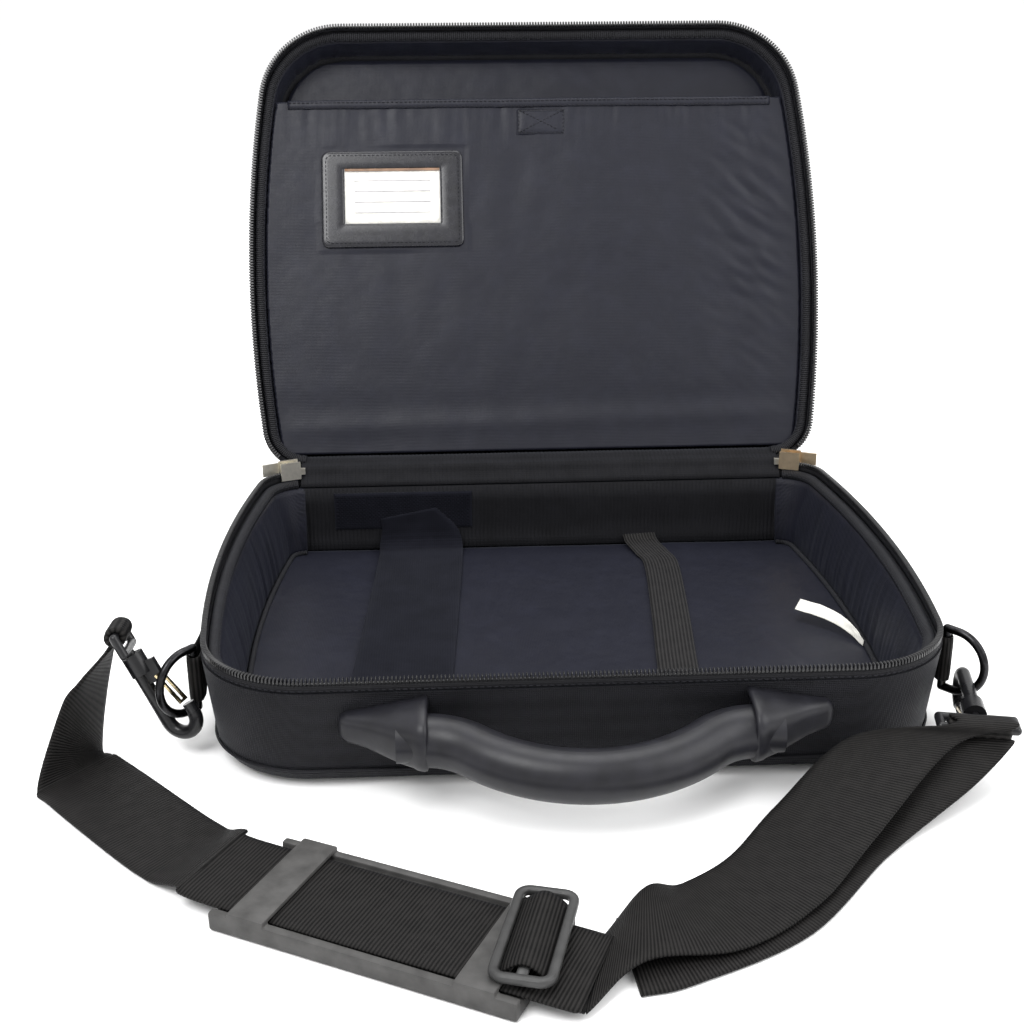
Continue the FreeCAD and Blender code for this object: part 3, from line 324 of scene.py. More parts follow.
class Paint:
    """A node material on one Principled shader, with helpers for procedural patterns."""

    def __init__(self, name, colour, rough, metal=0.0, sheen=0.0, coat=0.0, specular=0.5):
        self.material = bpy.data.materials.new(name)
        self.material.use_nodes = True
        self.tree = self.material.node_tree
        self.shader = self.tree.nodes["Principled BSDF"]
        self.base = tuple(colour) + (1.0,)
        self.shader.inputs["Base Color"].default_value = self.base
        self.shader.inputs["Roughness"].default_value = rough
        self.shader.inputs["Metallic"].default_value = metal
        self.shader.inputs["Specular IOR Level"].default_value = specular
        if sheen:
            self.shader.inputs["Sheen Weight"].default_value = sheen
            self.shader.inputs["Sheen Roughness"].default_value = 0.45
            self.shader.inputs["Sheen Tint"].default_value = (0.75, 0.8, 0.95, 1)
        if coat:
            self.shader.inputs["Coat Weight"].default_value = coat
            self.shader.inputs["Coat Roughness"].default_value = 0.18
        self.rough = rough
        self.coords = self.node("ShaderNodeTexCoord")
        self.heights = []

    def node(self, kind, **settings):
        made = self.tree.nodes.new(kind)
        for key, value in settings.items():
            setattr(made, key, value)
        return made

    def join(self, out, into):
        self.tree.links.new(out, into)

    def math(self, operation, first, second):
        """A Math node on two values, each a number or another node's output."""
        made = self.node("ShaderNodeMath", operation=operation)
        for index, value in enumerate((first, second)):
            if isinstance(value, (int, float)):
                made.inputs[index].default_value = value
            else:
                self.join(value, made.inputs[index])
        return made.outputs[0]

    def waves(self, axes, pitch, space="Object"):
        """Sum of sine ribs across the given axes, pitch in millimetres."""
        total = None
        for axis in axes:
            wave = self.node("ShaderNodeTexWave", bands_direction=axis, wave_profile="SIN")
            wave.inputs["Scale"].default_value = WAVES_AT_ONE_MM / pitch
            wave.inputs["Distortion"].default_value = 0.0
            wave.inputs["Detail"].default_value = 0.0
            self.join(self.coords.outputs[space], wave.inputs["Vector"])
            total = wave.outputs["Fac"] if total is None else self.math(
                "ADD", total, wave.outputs["Fac"])
        return total

    def grain(self, size, detail=4.0, stretch=None):
        """Noise with features of about size millimetres."""
        made = self.node("ShaderNodeTexNoise")
        made.inputs["Scale"].default_value = 1000.0 / size
        made.inputs["Detail"].default_value = detail
        source = self.coords.outputs["Object"]
        if stretch:
            mapping = self.node("ShaderNodeMapping")
            mapping.inputs["Scale"].default_value = stretch
            self.join(source, mapping.inputs["Vector"])
            source = mapping.outputs["Vector"]
        self.join(source, made.inputs["Vector"])
        return made.outputs["Fac"]

    def bump(self, height, depth):
        """Add a bump of this height field; depth in millimetres."""
        self.heights.append((height, depth))
        return self

    def mottle(self, factor, dark, light):
        """Vary the colour between two multiples of the base colour."""
        ramp = self.node("ShaderNodeValToRGB")
        ramp.color_ramp.elements[0].position = 0.3
        ramp.color_ramp.elements[1].position = 0.7
        for element, gain in zip(ramp.color_ramp.elements, (dark, light)):
            element.color = tuple(min(1.0, value * gain) for value in self.base[:3]) + (1.0,)
        self.join(factor, ramp.inputs["Fac"])
        self.join(ramp.outputs["Color"], self.shader.inputs["Base Color"])
        return self

    def vary_rough(self, factor, spread):
        """Vary the roughness either side of its own value."""
        low = self.math("MULTIPLY", factor, spread * 2)
        self.join(self.math("ADD", low, self.rough - spread), self.shader.inputs["Roughness"])
        return self

    def done(self):
        """Chain the bumps into the shader and give the finished material."""
        normal = None
        for height, depth in self.heights:
            made = self.node("ShaderNodeBump")
            made.inputs["Distance"].default_value = depth * MM
            made.inputs["Strength"].default_value = 1.0
            self.join(height, made.inputs["Height"])
            if normal is not None:
                self.join(normal, made.inputs["Normal"])
            normal = made.outputs["Normal"]
        if normal is not None:
            self.join(normal, self.shader.inputs["Normal"])
        return self.material


def cloth(name, colour, rough=0.75, sheen=0.03, pitch=1.1, weave=0.10, wrinkle=0.25,
          ribs=None, specular=0.14, contrast=(0.7, 1.5), weave_shade=0.16):
    """Woven fabric: fine weave, optional ribs along the UV, loose wrinkles and lint; the colour is
    lighter on the crests and darker in the grooves of the weave and ribs, which is painted shade.
    """
    paint = Paint(name, colour, rough, sheen=sheen, specular=specular)
    threads = paint.waves(("X", "Y", "Z"), pitch)
    paint.bump(threads, weave)
    if ribs:
        direction, gap, depth = ribs
        rib = paint.waves((direction,), gap, space="UV")
        paint.bump(rib, depth)
        # Colour from the rib height, lighter on the crests and darker in the grooves (painted
        # shade), plus random tone from noise.
        groove_shade_and_tone = paint.math("ADD", paint.math("MULTIPLY", rib, 0.6),
                           paint.math("MULTIPLY", paint.grain(6.0), 0.5))
    else:
        # Colour from the weave height, lighter on the crests and darker in the grooves (painted
        # shade), plus random tone from noise.
        groove_shade_and_tone = paint.math("ADD", paint.math("MULTIPLY", threads, weave_shade),
                           paint.math("MULTIPLY", paint.grain(14.0), 0.6))
    paint.mottle(groove_shade_and_tone, contrast[0], contrast[1])
    paint.bump(paint.grain(18.0, 2.0), wrinkle)
    paint.vary_rough(paint.grain(5.0), 0.08)
    return paint.done()


def moulded(name, colour, rough, grain=0.7, depth=0.03, coat=0.0, specular=0.5):
    """Injection-moulded plastic or rubber: fine leathery grain, scuffs and soft gloss."""
    paint = Paint(name, colour, rough, coat=coat, specular=specular)
    paint.bump(paint.grain(grain, 3.0), depth)
    paint.mottle(paint.grain(9.0, 6.0), 0.75, 1.4)
    paint.vary_rough(paint.grain(4.0, 5.0), 0.10)
    return paint.done()


def metal(name, colour, rough, worn=(0.55, 1.1)):
    """Plated metal with fine brushing, and stains and wear spread at random by noise."""
    paint = Paint(name, colour, rough, metal=1.0)
    paint.bump(paint.grain(1.2, 4.0, stretch=(1.0, 6.0, 1.0)), 0.02)
    paint.mottle(paint.grain(2.6, 6.0), worn[0], worn[1])
    paint.vary_rough(paint.grain(1.5, 5.0), 0.12)
    return paint.done()


SHELL = cloth("shell_nylon_cloth", (0.0062, 0.0062, 0.0078), 0.6, 0.02, 1.0, 0.10, 0.35)
LINING = cloth("lining_cloth", (0.0092, 0.0098, 0.0165), 0.42, 0.03, 0.9, 0.012, 0.45,
               specular=0.2, contrast=(0.8, 1.25), weave_shade=0.02)
WALL = cloth("wall_cloth", (0.0052, 0.0055, 0.0098), 0.5, 0.04, 0.9, 0.05, 0.4, specular=0.16)
RIBBED = cloth("ribbed_cloth", (0.0045, 0.0045, 0.0056), 0.8, 0.03, 1.0, 0.05, 0.15)
BINDING = cloth("binding_cloth", (0.0075, 0.0075, 0.0088), 0.6, 0.03, 0.8, 0.03, 0.1,
                ribs=("X", 1.35, 0.4), contrast=(0.35, 2.2))
TAPE = cloth("tape_cloth", (0.0065, 0.0065, 0.0078), 0.6, 0.02, 0.8, 0.05, 0.05,
             ribs=("Y", 0.9, 0.12))
WEBBING = cloth("webbing_cloth", (0.0062, 0.0058, 0.0056), 0.6, 0.01, 0.8, 0.02, 0.12,
                ribs=("X", 1.7, 0.2), contrast=(0.3, 2.3), specular=0.1)
ELASTIC = cloth("elastic_cloth", (0.0095, 0.009, 0.0088), 0.7, 0.03, 0.8, 0.03, 0.08,
                ribs=("Y", 2.0, 0.4), contrast=(0.4, 2.0))
LOOP_PILE = cloth("loop_pile_cloth", (0.0058, 0.006, 0.0088), 0.95, 0.06, 1.4, 0.05, 0.25,
                  specular=0.04, contrast=(0.75, 1.35))
THREAD = cloth("thread", (0.012, 0.012, 0.015), 0.5, 0.03, 0.5, 0.02, 0.0)
TAG = cloth("tag_cloth", (0.72, 0.71, 0.66), 0.7, 0.02, 0.7, 0.03, 0.1, contrast=(0.9, 1.05))
COIL = moulded("coil_nylon", (0.011, 0.011, 0.012), 0.3, 0.6, 0.01, specular=0.5)
RUBBER = moulded("handle_rubber_skin", (0.0085, 0.0085, 0.0112), 0.4, 0.8, 0.02,
                 specular=0.28)
GLOSSY = moulded("hook_plastic_skin", (0.007, 0.007, 0.008), 0.3, 1.2, 0.012, coat=0.06,
                 specular=0.3)
GREY_RUBBER = moulded("pad_rubber_skin", (0.046, 0.045, 0.044), 0.55, 0.9, 0.04,
                      specular=0.25)
BUCKLE = moulded("buckle_plastic_skin", (0.03, 0.03, 0.03), 0.42, 1.0, 0.02, specular=0.3)
RING = metal("ring_enamel", (0.03, 0.03, 0.032), 0.3)
NICKEL = metal("slider_nickel", (0.88, 0.84, 0.74), 0.38, worn=(0.92, 1.05))
BRASS = metal("slider_brass", (0.78, 0.62, 0.42), 0.38, worn=(0.92, 1.05))
GATE = metal("gate_wire_metal", (0.72, 0.60, 0.36), 0.22)
VINYL = moulded("label_vinyl", (0.0075, 0.0075, 0.0105), 0.26, 9.0, 0.05, coat=0.12,
                specular=0.35)
CARD = moulded("label_card_paper", (0.66, 0.64, 0.57), 0.8, 0.5, 0.01, specular=0.2)
LINES = moulded("label_ink", (0.16, 0.16, 0.17), 0.7, 0.5, 0.005)
BROWN = moulded("label_edge", (0.16, 0.09, 0.05), 0.5, 0.6, 0.01)
STEEL = metal("screw_metal", (0.55, 0.55, 0.57), 0.35)


def film():
    """Clear vinyl window with small scratches."""
    paint = Paint("window_film_clear", (0.95, 0.95, 0.96), 0.12, specular=0.5)
    paint.shader.inputs["Alpha"].default_value = 0.12
    paint.bump(paint.grain(7.0, 3.0), 0.12)
    return paint.done()


WINDOW = film()


def dress(obj, material, body, slot, *nodes):
    """Give a piece its material and body, and hide the CAD nodes it stands for; slot is not used.
    """
    obj.data.materials.clear()
    obj.data.materials.append(material)
    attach(obj, body)
    if nodes:
        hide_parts(*nodes)
    return obj


SHARP = math.radians(32)


def keep_node(name, material, bevel=0.0):
    """Show a CAD node as it is, with a real material and smooth shading, and with its sharp
    edges softened where a bevel is given, in millimetres."""
    obj = NODES[name]
    obj.data.materials.clear()
    obj.data.materials.append(material)
    for polygon in obj.data.polygons:
        polygon.material_index = 0
    obj.data.polygons.foreach_set("use_smooth", [True] * len(obj.data.polygons))
    if bevel:
        weld = obj.modifiers.new("weld", "WELD")
        weld.merge_threshold = 0.00002
        flat = obj.modifiers.new("flat", "DECIMATE")
        flat.decimate_type = "DISSOLVE"
        flat.angle_limit = math.radians(1.0)
        soft = obj.modifiers.new("soft", "BEVEL")
        soft.width = bevel * MM
        soft.segments = 2
        soft.limit_method = "ANGLE"
        soft.angle_limit = SHARP
        soft.use_clamp_overlap = True
    split = obj.modifiers.new("split", "EDGE_SPLIT")
    split.split_angle = SHARP
    return obj


# ---------------------------------------------------------------- zip, tapes and bindings

HINGE_GAP = opening_distance(CORNER_HINGE.x + 3.9)
LID_GAP = opening_distance(CORNER_HINGE.x + 18.7)
WALL_END = opening_distance(CORNER_HINGE.x)
TOOTH_PITCH = 1.87


def teeth(name, low, half, place):
    """Coil teeth round the outline: one small rounded lug per turn of the coil."""
    points, faces = [], []
    centre = 1.45
    count = int(2 * half / TOOTH_PITCH)
    profile = [(-0.62, 0.25), (-0.4, 0.0), (0.4, 0.0), (0.62, 0.25), (0.5, 2.3), (0.2, 2.9),
               (-0.2, 2.9), (-0.5, 2.3)]
    for index in range(count + 1):
        point, normal = rim(-half + index * TOOTH_PITCH)
        along = Vector((-normal.y, normal.x))
        base = len(points)
        for inset, squeeze in ((0.25, 0.75), (0.8, 1.0), (2.5, 1.0), (3.1, 0.75)):
            for across, rise in profile:
                at = point - normal * inset + along * across * squeeze
                height = low + centre + (rise - centre) * squeeze
                points.append(place((at.x, at.y, height)))
        faces += spindle_faces(base, len(profile))
    uvs = [tuple((points[k][0] * MM, points[k][1] * MM) for k in face) for face in faces]
    return fix_normals(build_mesh(name, points, faces, uvs, smooth=False))


def rim_set(side, place, band_low, coil_low, gap, sign, body):
    """Zip tape, its stitched edge and coil on one rim; sign is 1 on the base, -1 on the lid."""
    tape = around_case(f"{side}_tape_cloth", [
        (0.9, band_low), (0.75, band_low + 2.0), (1.0, band_low + 4.1), (2.3, band_low + 4.1),
        (2.3, band_low)], place, gap, 3.0)
    dress(tape, TAPE, body, "zip_tape", f"{side}_zip_tape")
    coil = teeth(f"{side}_teeth", coil_low, gap, place)
    dress(coil, COIL, body, "zip_coil", f"{side}_zip_coil")
    cord_z = coil_low + (0.15 if sign > 0 else 2.85)
    cord = rim_line(1.7, cord_z, -gap, gap, int(2 * gap / 6), place)
    dress(tube(f"{side}_coil_cord", cord, 0.55, 8), COIL, body, "zip_coil")
    seam_z = band_low + (1.0 if sign > 0 else 3.1)
    seam = rim_line(0.72, seam_z, -gap, gap, int(2 * gap / 5), place)
    dress(stitches(f"{side}_tape_stitches", seam, 3.2, 2.3, 0.24), THREAD, body, "zip_tape")


rim_set("base", same, 52.1, 56.3, HINGE_GAP, 1, "case")
rim_set("lid", lid, 63.8, 60.7, LID_GAP, -1, "lid")


def binding_section(sign, top):
    """Rounded ribbed band inside a rim: from the zip's tape down to the padding."""
    return [(4.0, top), (5.6, top + sign * 0.35), (7.4, top - sign * 0.25),
            (8.7, top - sign * 1.4), (9.1, top - sign * 3.0), (8.6, top - sign * 4.6),
            (6.4, top - sign * 5.0), (4.1, top - sign * 4.9)]


def binding(side, place, top, sign, end, body):
    """Binding tape inside one rim, with its row of stitches."""
    def softly(distance, index, inset, height):
        wave = noise.noise(Vector((distance * 0.03, index * 0.2, 4.0 + sign)))
        return inset + 0.22 * wave, height + 0.3 * wave

    made = around_case(f"{side}_binding_tape", binding_section(sign, top), place, end, 3.0,
                       softly)
    dress(made, BINDING, body, "binding_tape", f"{side}_rim_binding")
    path = rim_line(8.95, top - sign * 2.2, -end, end, int(2 * end / 4), place)
    dress(stitches(f"{side}_binding_stitches", path, 3.4, 2.4, 0.26), THREAD, body,
          "binding_tape")


BINDING_END = opening_distance(CORNER_HINGE.x + 6)
binding("base", same, 53.4, 1, BINDING_END, "case")
binding("lid", lid, 66.6, -1, WALL_END, "lid")

# ---------------------------------------------------------------- padded walls

# Distance round the rim from the front's middle, spread and depth of each group of folds.
GATHERS = [
    (150.0, 34.0, 0.9), (-150.0, 34.0, 1.0), (-382.0, 26.0, 2.1), (382.0, 24.0, 1.5),
    (-60.0, 40.0, 0.5), (60.0, 50.0, 0.4), (-270.0, 60.0, 0.6), (275.0, 60.0, 0.55),
]


def gather(distance, seed):
    """How far the cloth folds in or out at a distance round the rim."""
    depth = 0.25 + sum(deep * math.exp(-((distance - centre) / spread) ** 2)
                       for centre, spread, deep in GATHERS)
    fold = noise.noise(Vector((distance * 0.16, seed, 0.0)))
    fold += 0.6 * noise.noise(Vector((distance * 0.37, seed + 5.0, 0.0)))
    return 1.6 * depth * fold


def wall_quilt(side, place, low, high, inner_low, inner_high, outer_low, outer_high, end, body,
               bulge, seed):
    """Foam wall under gathered cloth: a closed crowned form round three sides."""
    rows = 12
    section = []
    for index in range(rows + 1):
        share = index / rows
        section.append((inner_low + (inner_high - inner_low) * share, low + (high - low) * share))
    section += [(outer_high, high), ((outer_low + outer_high) / 2, (low + high) / 2),
                (outer_low, low)]

    def change(distance, index, inset, height):
        if index > rows:
            return inset, height
        share = index / rows
        crown = math.sin(math.pi * share) ** 0.6
        lower = (1 - share) ** 1.5
        folds = gather(distance, seed) * (0.25 + 0.75 * lower) * crown ** 0.5
        diagonal = 0.5 * noise.noise(Vector((distance * 0.05 + share * 1.5, share * 2.0, seed)))
        if index in (0, rows):
            return inset - 0.6, height
        return inset + (folds + diagonal) + crown * bulge - bulge * 0.5, height

    made = around_case(f"{side}_wall_quilt", section, place, end, 1.6, change)
    dress(made, WALL, body, "wall_lining", f"{side}_wall_padding")


wall_quilt("base", same, 6.5, 48.6, 17.6, 9.6, 15.0, 5.0, WALL_END, "case", 2.2, 1.0)
wall_quilt("lid", lid, 92.6, 72.1, 10.9, 9.4, 9.0, 5.2, WALL_END, "lid", 0.9, 9.0)

# ---------------------------------------------------------------- hinge side: ribs

PANEL_HALF = 157.0
RIB = 2.6
RIB_DEPTH = 0.5


def ribbed_sheet(name, profile, half, depth, back):
    """Cloth with ribs running along a (y, z) profile, from -half to half in x."""
    columns = int(2 * half / RIB) * 6
    rows = []
    for index, point in enumerate(profile):
        before = profile[max(index - 1, 0)]
        after = profile[min(index + 1, len(profile) - 1)]
        way = (Vector(after) - Vector(before)).normalized()
        out = Vector((-way.y, way.x))
        row = []
        for column in range(columns + 1):
            x = -half + 2 * half * column / columns
            swell = depth * abs(math.sin(math.pi * x / RIB)) ** 0.8
            sag = 0.5 * noise.noise(Vector((x * 0.02, index * 0.35, 2.0)))
            at = Vector(point) + out * (swell + sag)
            row.append(Vector((x, at.x, at.y)))
        for column in range(columns, -1, -1):
            at = Vector(point) - out * back
            row.append(Vector((-half + 2 * half * column / columns, at.x, at.y)))
        rows.append(row)
    return loft(name, rows)


panel = ribbed_sheet("base_back_ribs", [(137.4, 7.2), (139.8, 12.0), (140.4, 24.0),
                                        (140.6, 38.0), (141.2, 48.5)], PANEL_HALF,
                     RIB_DEPTH, 3.2)
dress(panel, RIBBED, "case", "ribbed_fabric", "base_hinge_panel")


def lid_yz(y, z):
    """A (y, z) point of the shut lid, moved to the open lid."""
    at = lid((0, y, z))
    return (at.y, at.z)


gusset_path = [(141.6, 49.6), (144.0, 52.2), (147.2, 54.6), (149.0, 57.0), (149.9, 59.6),
               lid_yz(149.0, 62.0), lid_yz(147.4, 65.0), lid_yz(144.6, 68.5),
               lid_yz(141.6, 71.6)]
gusset = ribbed_sheet("hinge_gusset", gusset_path, PANEL_HALF, RIB_DEPTH, 0.7)
gusset.data.materials.append(RIBBED)
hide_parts("base_hinge_strip", "lid_hinge_strip")
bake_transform(gusset)

# ---------------------------------------------------------------- floor

FLOOR_INSET = 17.3


def inside_outline(x, y, inset):
    """Distance in from the outline, roughly, less the inset: positive inside."""
    y_gap = y + HALF_DEPTH - inset
    bow = SIDE_RADIUS - inset - math.hypot(abs(x) - SIDE_CENTRE.x, y - SIDE_CENTRE.y)
    gap = min(y_gap, bow)
    if abs(x) > CORNER_FRONT.x and y < CORNER_FRONT.y:
        corner = math.hypot(abs(x) - CORNER_FRONT.x, y - CORNER_FRONT.y)
        gap = min(gap, FRONT_RADIUS - inset - corner)
    return gap


def flat_cloth(name, base_z, thick, inset, back, place, relief, columns=170, rows=130,
               front=-HALF_DEPTH):
    """Sheet that fills the outline's inset, with relief(x, y) in height."""
    half = HALF_WIDTH - inset
    front = max(front, -HALF_DEPTH + inset)
    lines = []
    for row in range(rows + 1):
        y = front + (back - front) * row / rows
        width = half
        while inside_outline(width, y, inset) < 0 and width > 0:
            width -= 0.5
        line = []
        for column in range(columns + 1):
            x = width * (-1 + 2 * column / columns)
            line.append((x, y))
        lines.append(line)
    rings = []
    for line in lines:
        top = [place((x, y, base_z + thick + relief(x, y))) for x, y in line]
        under = [place((x, y, base_z)) for x, y in reversed(line)]
        rings.append(top + under)
    return loft(name, rings)


def floor_relief(x, y):
    """Height of the floor cloth: rolled at its edge, soft waves and one slanting crease."""
    edge = max(0.0, inside_outline(x, y, FLOOR_INSET))
    roll = 0.9 * math.exp(-edge / 7.0)
    soft = 0.45 * noise.noise(Vector((x * 0.018, y * 0.022, 3.0)))
    soft += 0.16 * noise.noise(Vector((x * 0.07, y * 0.05, 6.0)))
    crease = 0.5 * math.exp(-abs(x - 118 + 0.35 * y) / 2.4) * math.exp(-((y + 40) / 70) ** 2)
    return roll + soft - crease - 0.3


floor_cloth = flat_cloth("base_floor_cloth", 4.6, 1.9, FLOOR_INSET, 137.4, same, floor_relief)
dress(floor_cloth, LINING, "case", "lining_nylon", "base_floor_pad")

piping_path = rim_line(18.9, 7.9, -WALL_END, WALL_END, 240, same)
piping = tube("base_floor_cord", piping_path, 1.45, 12)
dress(piping, BINDING, "case", "lining_nylon", "base_floor_piping")

# ---------------------------------------------------------------- lid lining and pocket


def lining_relief(x, y):
    """Shallow waves of the lining behind the pocket."""
    return -(0.35 * noise.noise(Vector((x * 0.03, y * 0.05, 8.0)))
             + 0.2 * noise.noise(Vector((x * 0.1, y * 0.12, 1.0))))


lining = flat_cloth("lid_lining_cloth", 91.4, -1.5, 14.4, 137.0, lid, lining_relief, 120, 90)
dress(lining, LINING, "lid", "lining_nylon", "lid_lining")

POCKET_Z = 72.0
HEM_Y = -100.0
LABEL_X, LABEL_UP = (-142.0, -47.0), (149.0, 215.0)


def pocket_relief(x, y):
    """Height of the pocket cloth above its plane: pulls at the right, a roll near the hinge,
    soft waves, and gathers under the hem. It lies flat under the label holder."""
    up = HALF_DEPTH - y
    edge = max(0.0, min(inside_outline(x, y, 10.0), 200.0))
    free = 1 - math.exp(-edge / 12.0)
    right = math.exp(-((x - 150) / 26.0) ** 2) * math.exp(-((up - 165) / 80.0) ** 2)
    pull = 1.5 * right * noise.noise(Vector((x * 0.05, (up + 0.6 * x) * 0.11, 2.0)))
    low = 0.9 * math.exp(-((up - 30 - 0.02 * x) / 7.0) ** 2)
    low -= 0.5 * math.exp(-((up - 42) / 9.0) ** 2)
    soft = 0.7 * noise.noise(Vector((x * 0.012, up * 0.016, 5.0)))
    soft += 0.28 * noise.noise(Vector((x * 0.05, up * 0.03, 7.0)))
    hem = 0.6 * math.exp(-((up - 247) / 5.0) ** 2)
    gathers = 0.45 * math.exp(-((up - 246) / 22.0) ** 2) * noise.noise(
        Vector((x * 0.17, up * 0.02, 3.0)))
    label = 1.0
    if LABEL_X[0] - 3 < x < LABEL_X[1] + 3 and LABEL_UP[0] - 3 < up < LABEL_UP[1] + 3:
        label = 0.0
    return (free * (1.7 * pull + 1.6 * soft + low + 1.4 * gathers) * label + hem * 0.3) * 0.85


pocket = flat_cloth("lid_pocket_cloth", 73.6, -1.6, 10.1, 139.6, lid,
                    lambda x, y: -pocket_relief(x, y), 220, 170, front=HEM_Y)
dress(pocket, LINING, "lid", "lining_nylon", "lid_pocket_panel")

HEM_HALF = 164.0
hem_path = [(-HEM_HALF + 2 * HEM_HALF * index / 120, HEM_Y) for index in range(121)]
hem_rings = []
for x, y in hem_path:
    lift = pocket_relief(x, y + 2) * 0.9 + 0.25 * noise.noise(Vector((x * 0.06, 0, 1.5)))
    section = [(5.4, 0.35), (5.0, 0.9), (3.0, 1.25), (0.5, 1.3), (-0.6, 0.8), (-0.7, -0.4),
               (0.5, -0.2), (3.0, -0.1)]
    hem_rings.append([lid((x, y + across, POCKET_Z - high - lift * 0.6))
                      for across, high in section])
hem = loft("lid_pocket_hem_tape", hem_rings)
dress(hem, LINING, "lid", "binding_tape", "lid_pocket_hem")
for row, offset in enumerate((1.2, 4.6)):
    path = [lid((x, y + offset, POCKET_Z - 1.5 - pocket_relief(x, y + 2) * 0.5))
            for x, y in hem_path]
    dress(stitches(f"lid_hem_stitches_{row}", path, 3.0, 2.1, 0.27), THREAD, "lid",
          "binding_tape")


def seam_on_pocket(corners, height, steps=None):
    """Points on the pocket's face through (x, up) corners, about 3 mm apart or in a given
    number of steps to each side."""
    found = []
    for (x0, u0), (x1, u1) in zip(corners, corners[1:]):
        parts = steps or max(1, int(math.hypot(x1 - x0, u1 - u0) / 3))
        for share in (step / parts for step in range(parts)):
            found.append(lid((x0 + (x1 - x0) * share, HALF_DEPTH - u0 - (u1 - u0) * share,
                              height)))
    return found


def soft_plate(name, x_range, up_range, high, crown, tilt):
    """Cushioned patch lying on the pocket cloth, with rounded edges."""
    rings = []
    steps_x, steps_u = 24, 16
    round_edge = 1.6
    for i in range(steps_u + 1):
        up = up_range[0] + (up_range[1] - up_range[0]) * i / steps_u
        top, under = [], []
        for j in range(steps_x + 1):
            x = x_range[0] + (x_range[1] - x_range[0]) * j / steps_x
            edge = min(x - x_range[0], x_range[1] - x, up - up_range[0], up_range[1] - up)
            rise = high * (1 - math.exp(-edge / round_edge)) + crown * noise.noise(
                Vector((x * 0.3, up * 0.3, 1.0)))
            shift = tilt * (up - up_range[0])
            top.append(lid((x + shift, HALF_DEPTH - up, POCKET_Z - 0.05 - max(rise, 0.05))))
            under.append(lid((x + shift, HALF_DEPTH - up, POCKET_Z + 0.2)))
        rings.append(top + under[::-1])
    return loft(name, rings)


closure = soft_plate("lid_pocket_tab", (-10.0, 23.6), (225.2, 243.6), 1.25, 0.12, 0.03)
dress(closure, LINING, "lid", "hook_tape", "lid_pocket_closure")
tab_corners = [(-8.6, 226.6), (22.2, 226.6), (22.6, 242.4), (-8.0, 242.4), (-8.6, 226.6),
               (22.6, 242.4), (-8.0, 242.4), (22.2, 226.6)]
tab_path = seam_on_pocket(tab_corners, POCKET_Z - 1.45, 8)
dress(stitches("lid_tab_stitches", tab_path, 2.6, 1.9, 0.24), THREAD, "lid", "hook_tape")

# ---------------------------------------------------------------- label holder

WINDOW_X, WINDOW_UP = (-127.0, -62.0), (165.0, 203.0)


def rounded_box(x_range, up_range, radius):
    """Corner-rounded rectangle as (x, up) points, anticlockwise."""
    found = []
    steps = 6
    corners = ((x_range[1] - radius, up_range[0] + radius, -90),
               (x_range[1] - radius, up_range[1] - radius, 0),
               (x_range[0] + radius, up_range[1] - radius, 90),
               (x_range[0] + radius, up_range[0] + radius, 180))
    for x, up, start in corners:
        for step in range(steps + 1):
            angle = math.radians(start + 90 * step / steps)
            found.append((x + radius * math.cos(angle), up + radius * math.sin(angle)))
    return found


def label_frame():
    """Vinyl surround with a rounded edge and a stitched margin, open over the window."""
    outer = rounded_box(LABEL_X, LABEL_UP, 5.0)
    inner = rounded_box(WINDOW_X, WINDOW_UP, 1.5)
    levels = ((0.0, -0.1), (0.0, 0.9), (0.03, 1.45), (0.09, 1.75), (0.3, 1.85), (0.62, 1.8),
              (0.92, 1.85), (0.985, 1.6), (1.0, 1.0), (1.0, 0.2))
    rings = []
    for (x0, u0), (x1, u1) in zip(outer, inner):
        rings.append([lid((x0 + (x1 - x0) * share, HALF_DEPTH - (u0 + (u1 - u0) * share),
                           POCKET_Z - high)) for share, high in levels])
    return loft("label_surround", rings, closed_path=True, closed_ring=False)


surround = label_frame()
dress(surround, VINYL, "lid", "frame_vinyl", "label_frame")
margin = rounded_box((LABEL_X[0] + 3.0, LABEL_X[1] - 3.0), (LABEL_UP[0] + 3.0, LABEL_UP[1] - 3.0),
                     3.5)
margin_path = seam_on_pocket(margin + margin[:1], POCKET_Z - 1.95)
dress(stitches("label_stitches", margin_path, 2.9, 2.0, 0.3), THREAD, "lid", "frame_vinyl")


def lid_card(name, x_range, up_range, high, wobble, material, slot, *nodes):
    """Thin sheet in the label holder, a little uneven."""
    rings = []
    for i in range(9):
        up = up_range[0] + (up_range[1] - up_range[0]) * i / 8
        top, under = [], []
        for j in range(17):
            x = x_range[0] + (x_range[1] - x_range[0]) * j / 16
            rise = wobble * noise.noise(Vector((x * 0.08, up * 0.1, 4.0)))
            top.append(lid((x, HALF_DEPTH - up, POCKET_Z - high - rise)))
            under.append(lid((x, HALF_DEPTH - up, POCKET_Z - high - rise + 0.25)))
        rings.append(top + under[::-1])
    return dress(loft(name, rings), material, "lid", slot, *nodes)


lid_card("label_paper", (-126.4, -62.6), (165.4, 202.0), 0.65, 0.1, CARD, "card", "label_card")
for row, up in enumerate((172.5, 179.8, 187.1, 194.4)):
    lid_card(f"label_rule_{row}", (-120.0, -69.0), (up, up + 0.7), 0.92, 0.0, LINES, "card")
lid_card("label_film", (-126.8, -62.2), (165.2, 202.8), 1.35, 0.15, WINDOW, "window_film",
         "label_window")
lid_card("label_film_edge", (-126.4, -62.6), (201.2, 203.0), 1.5, 0.05, BROWN, "window_film")

# ---------------------------------------------------------------- shells

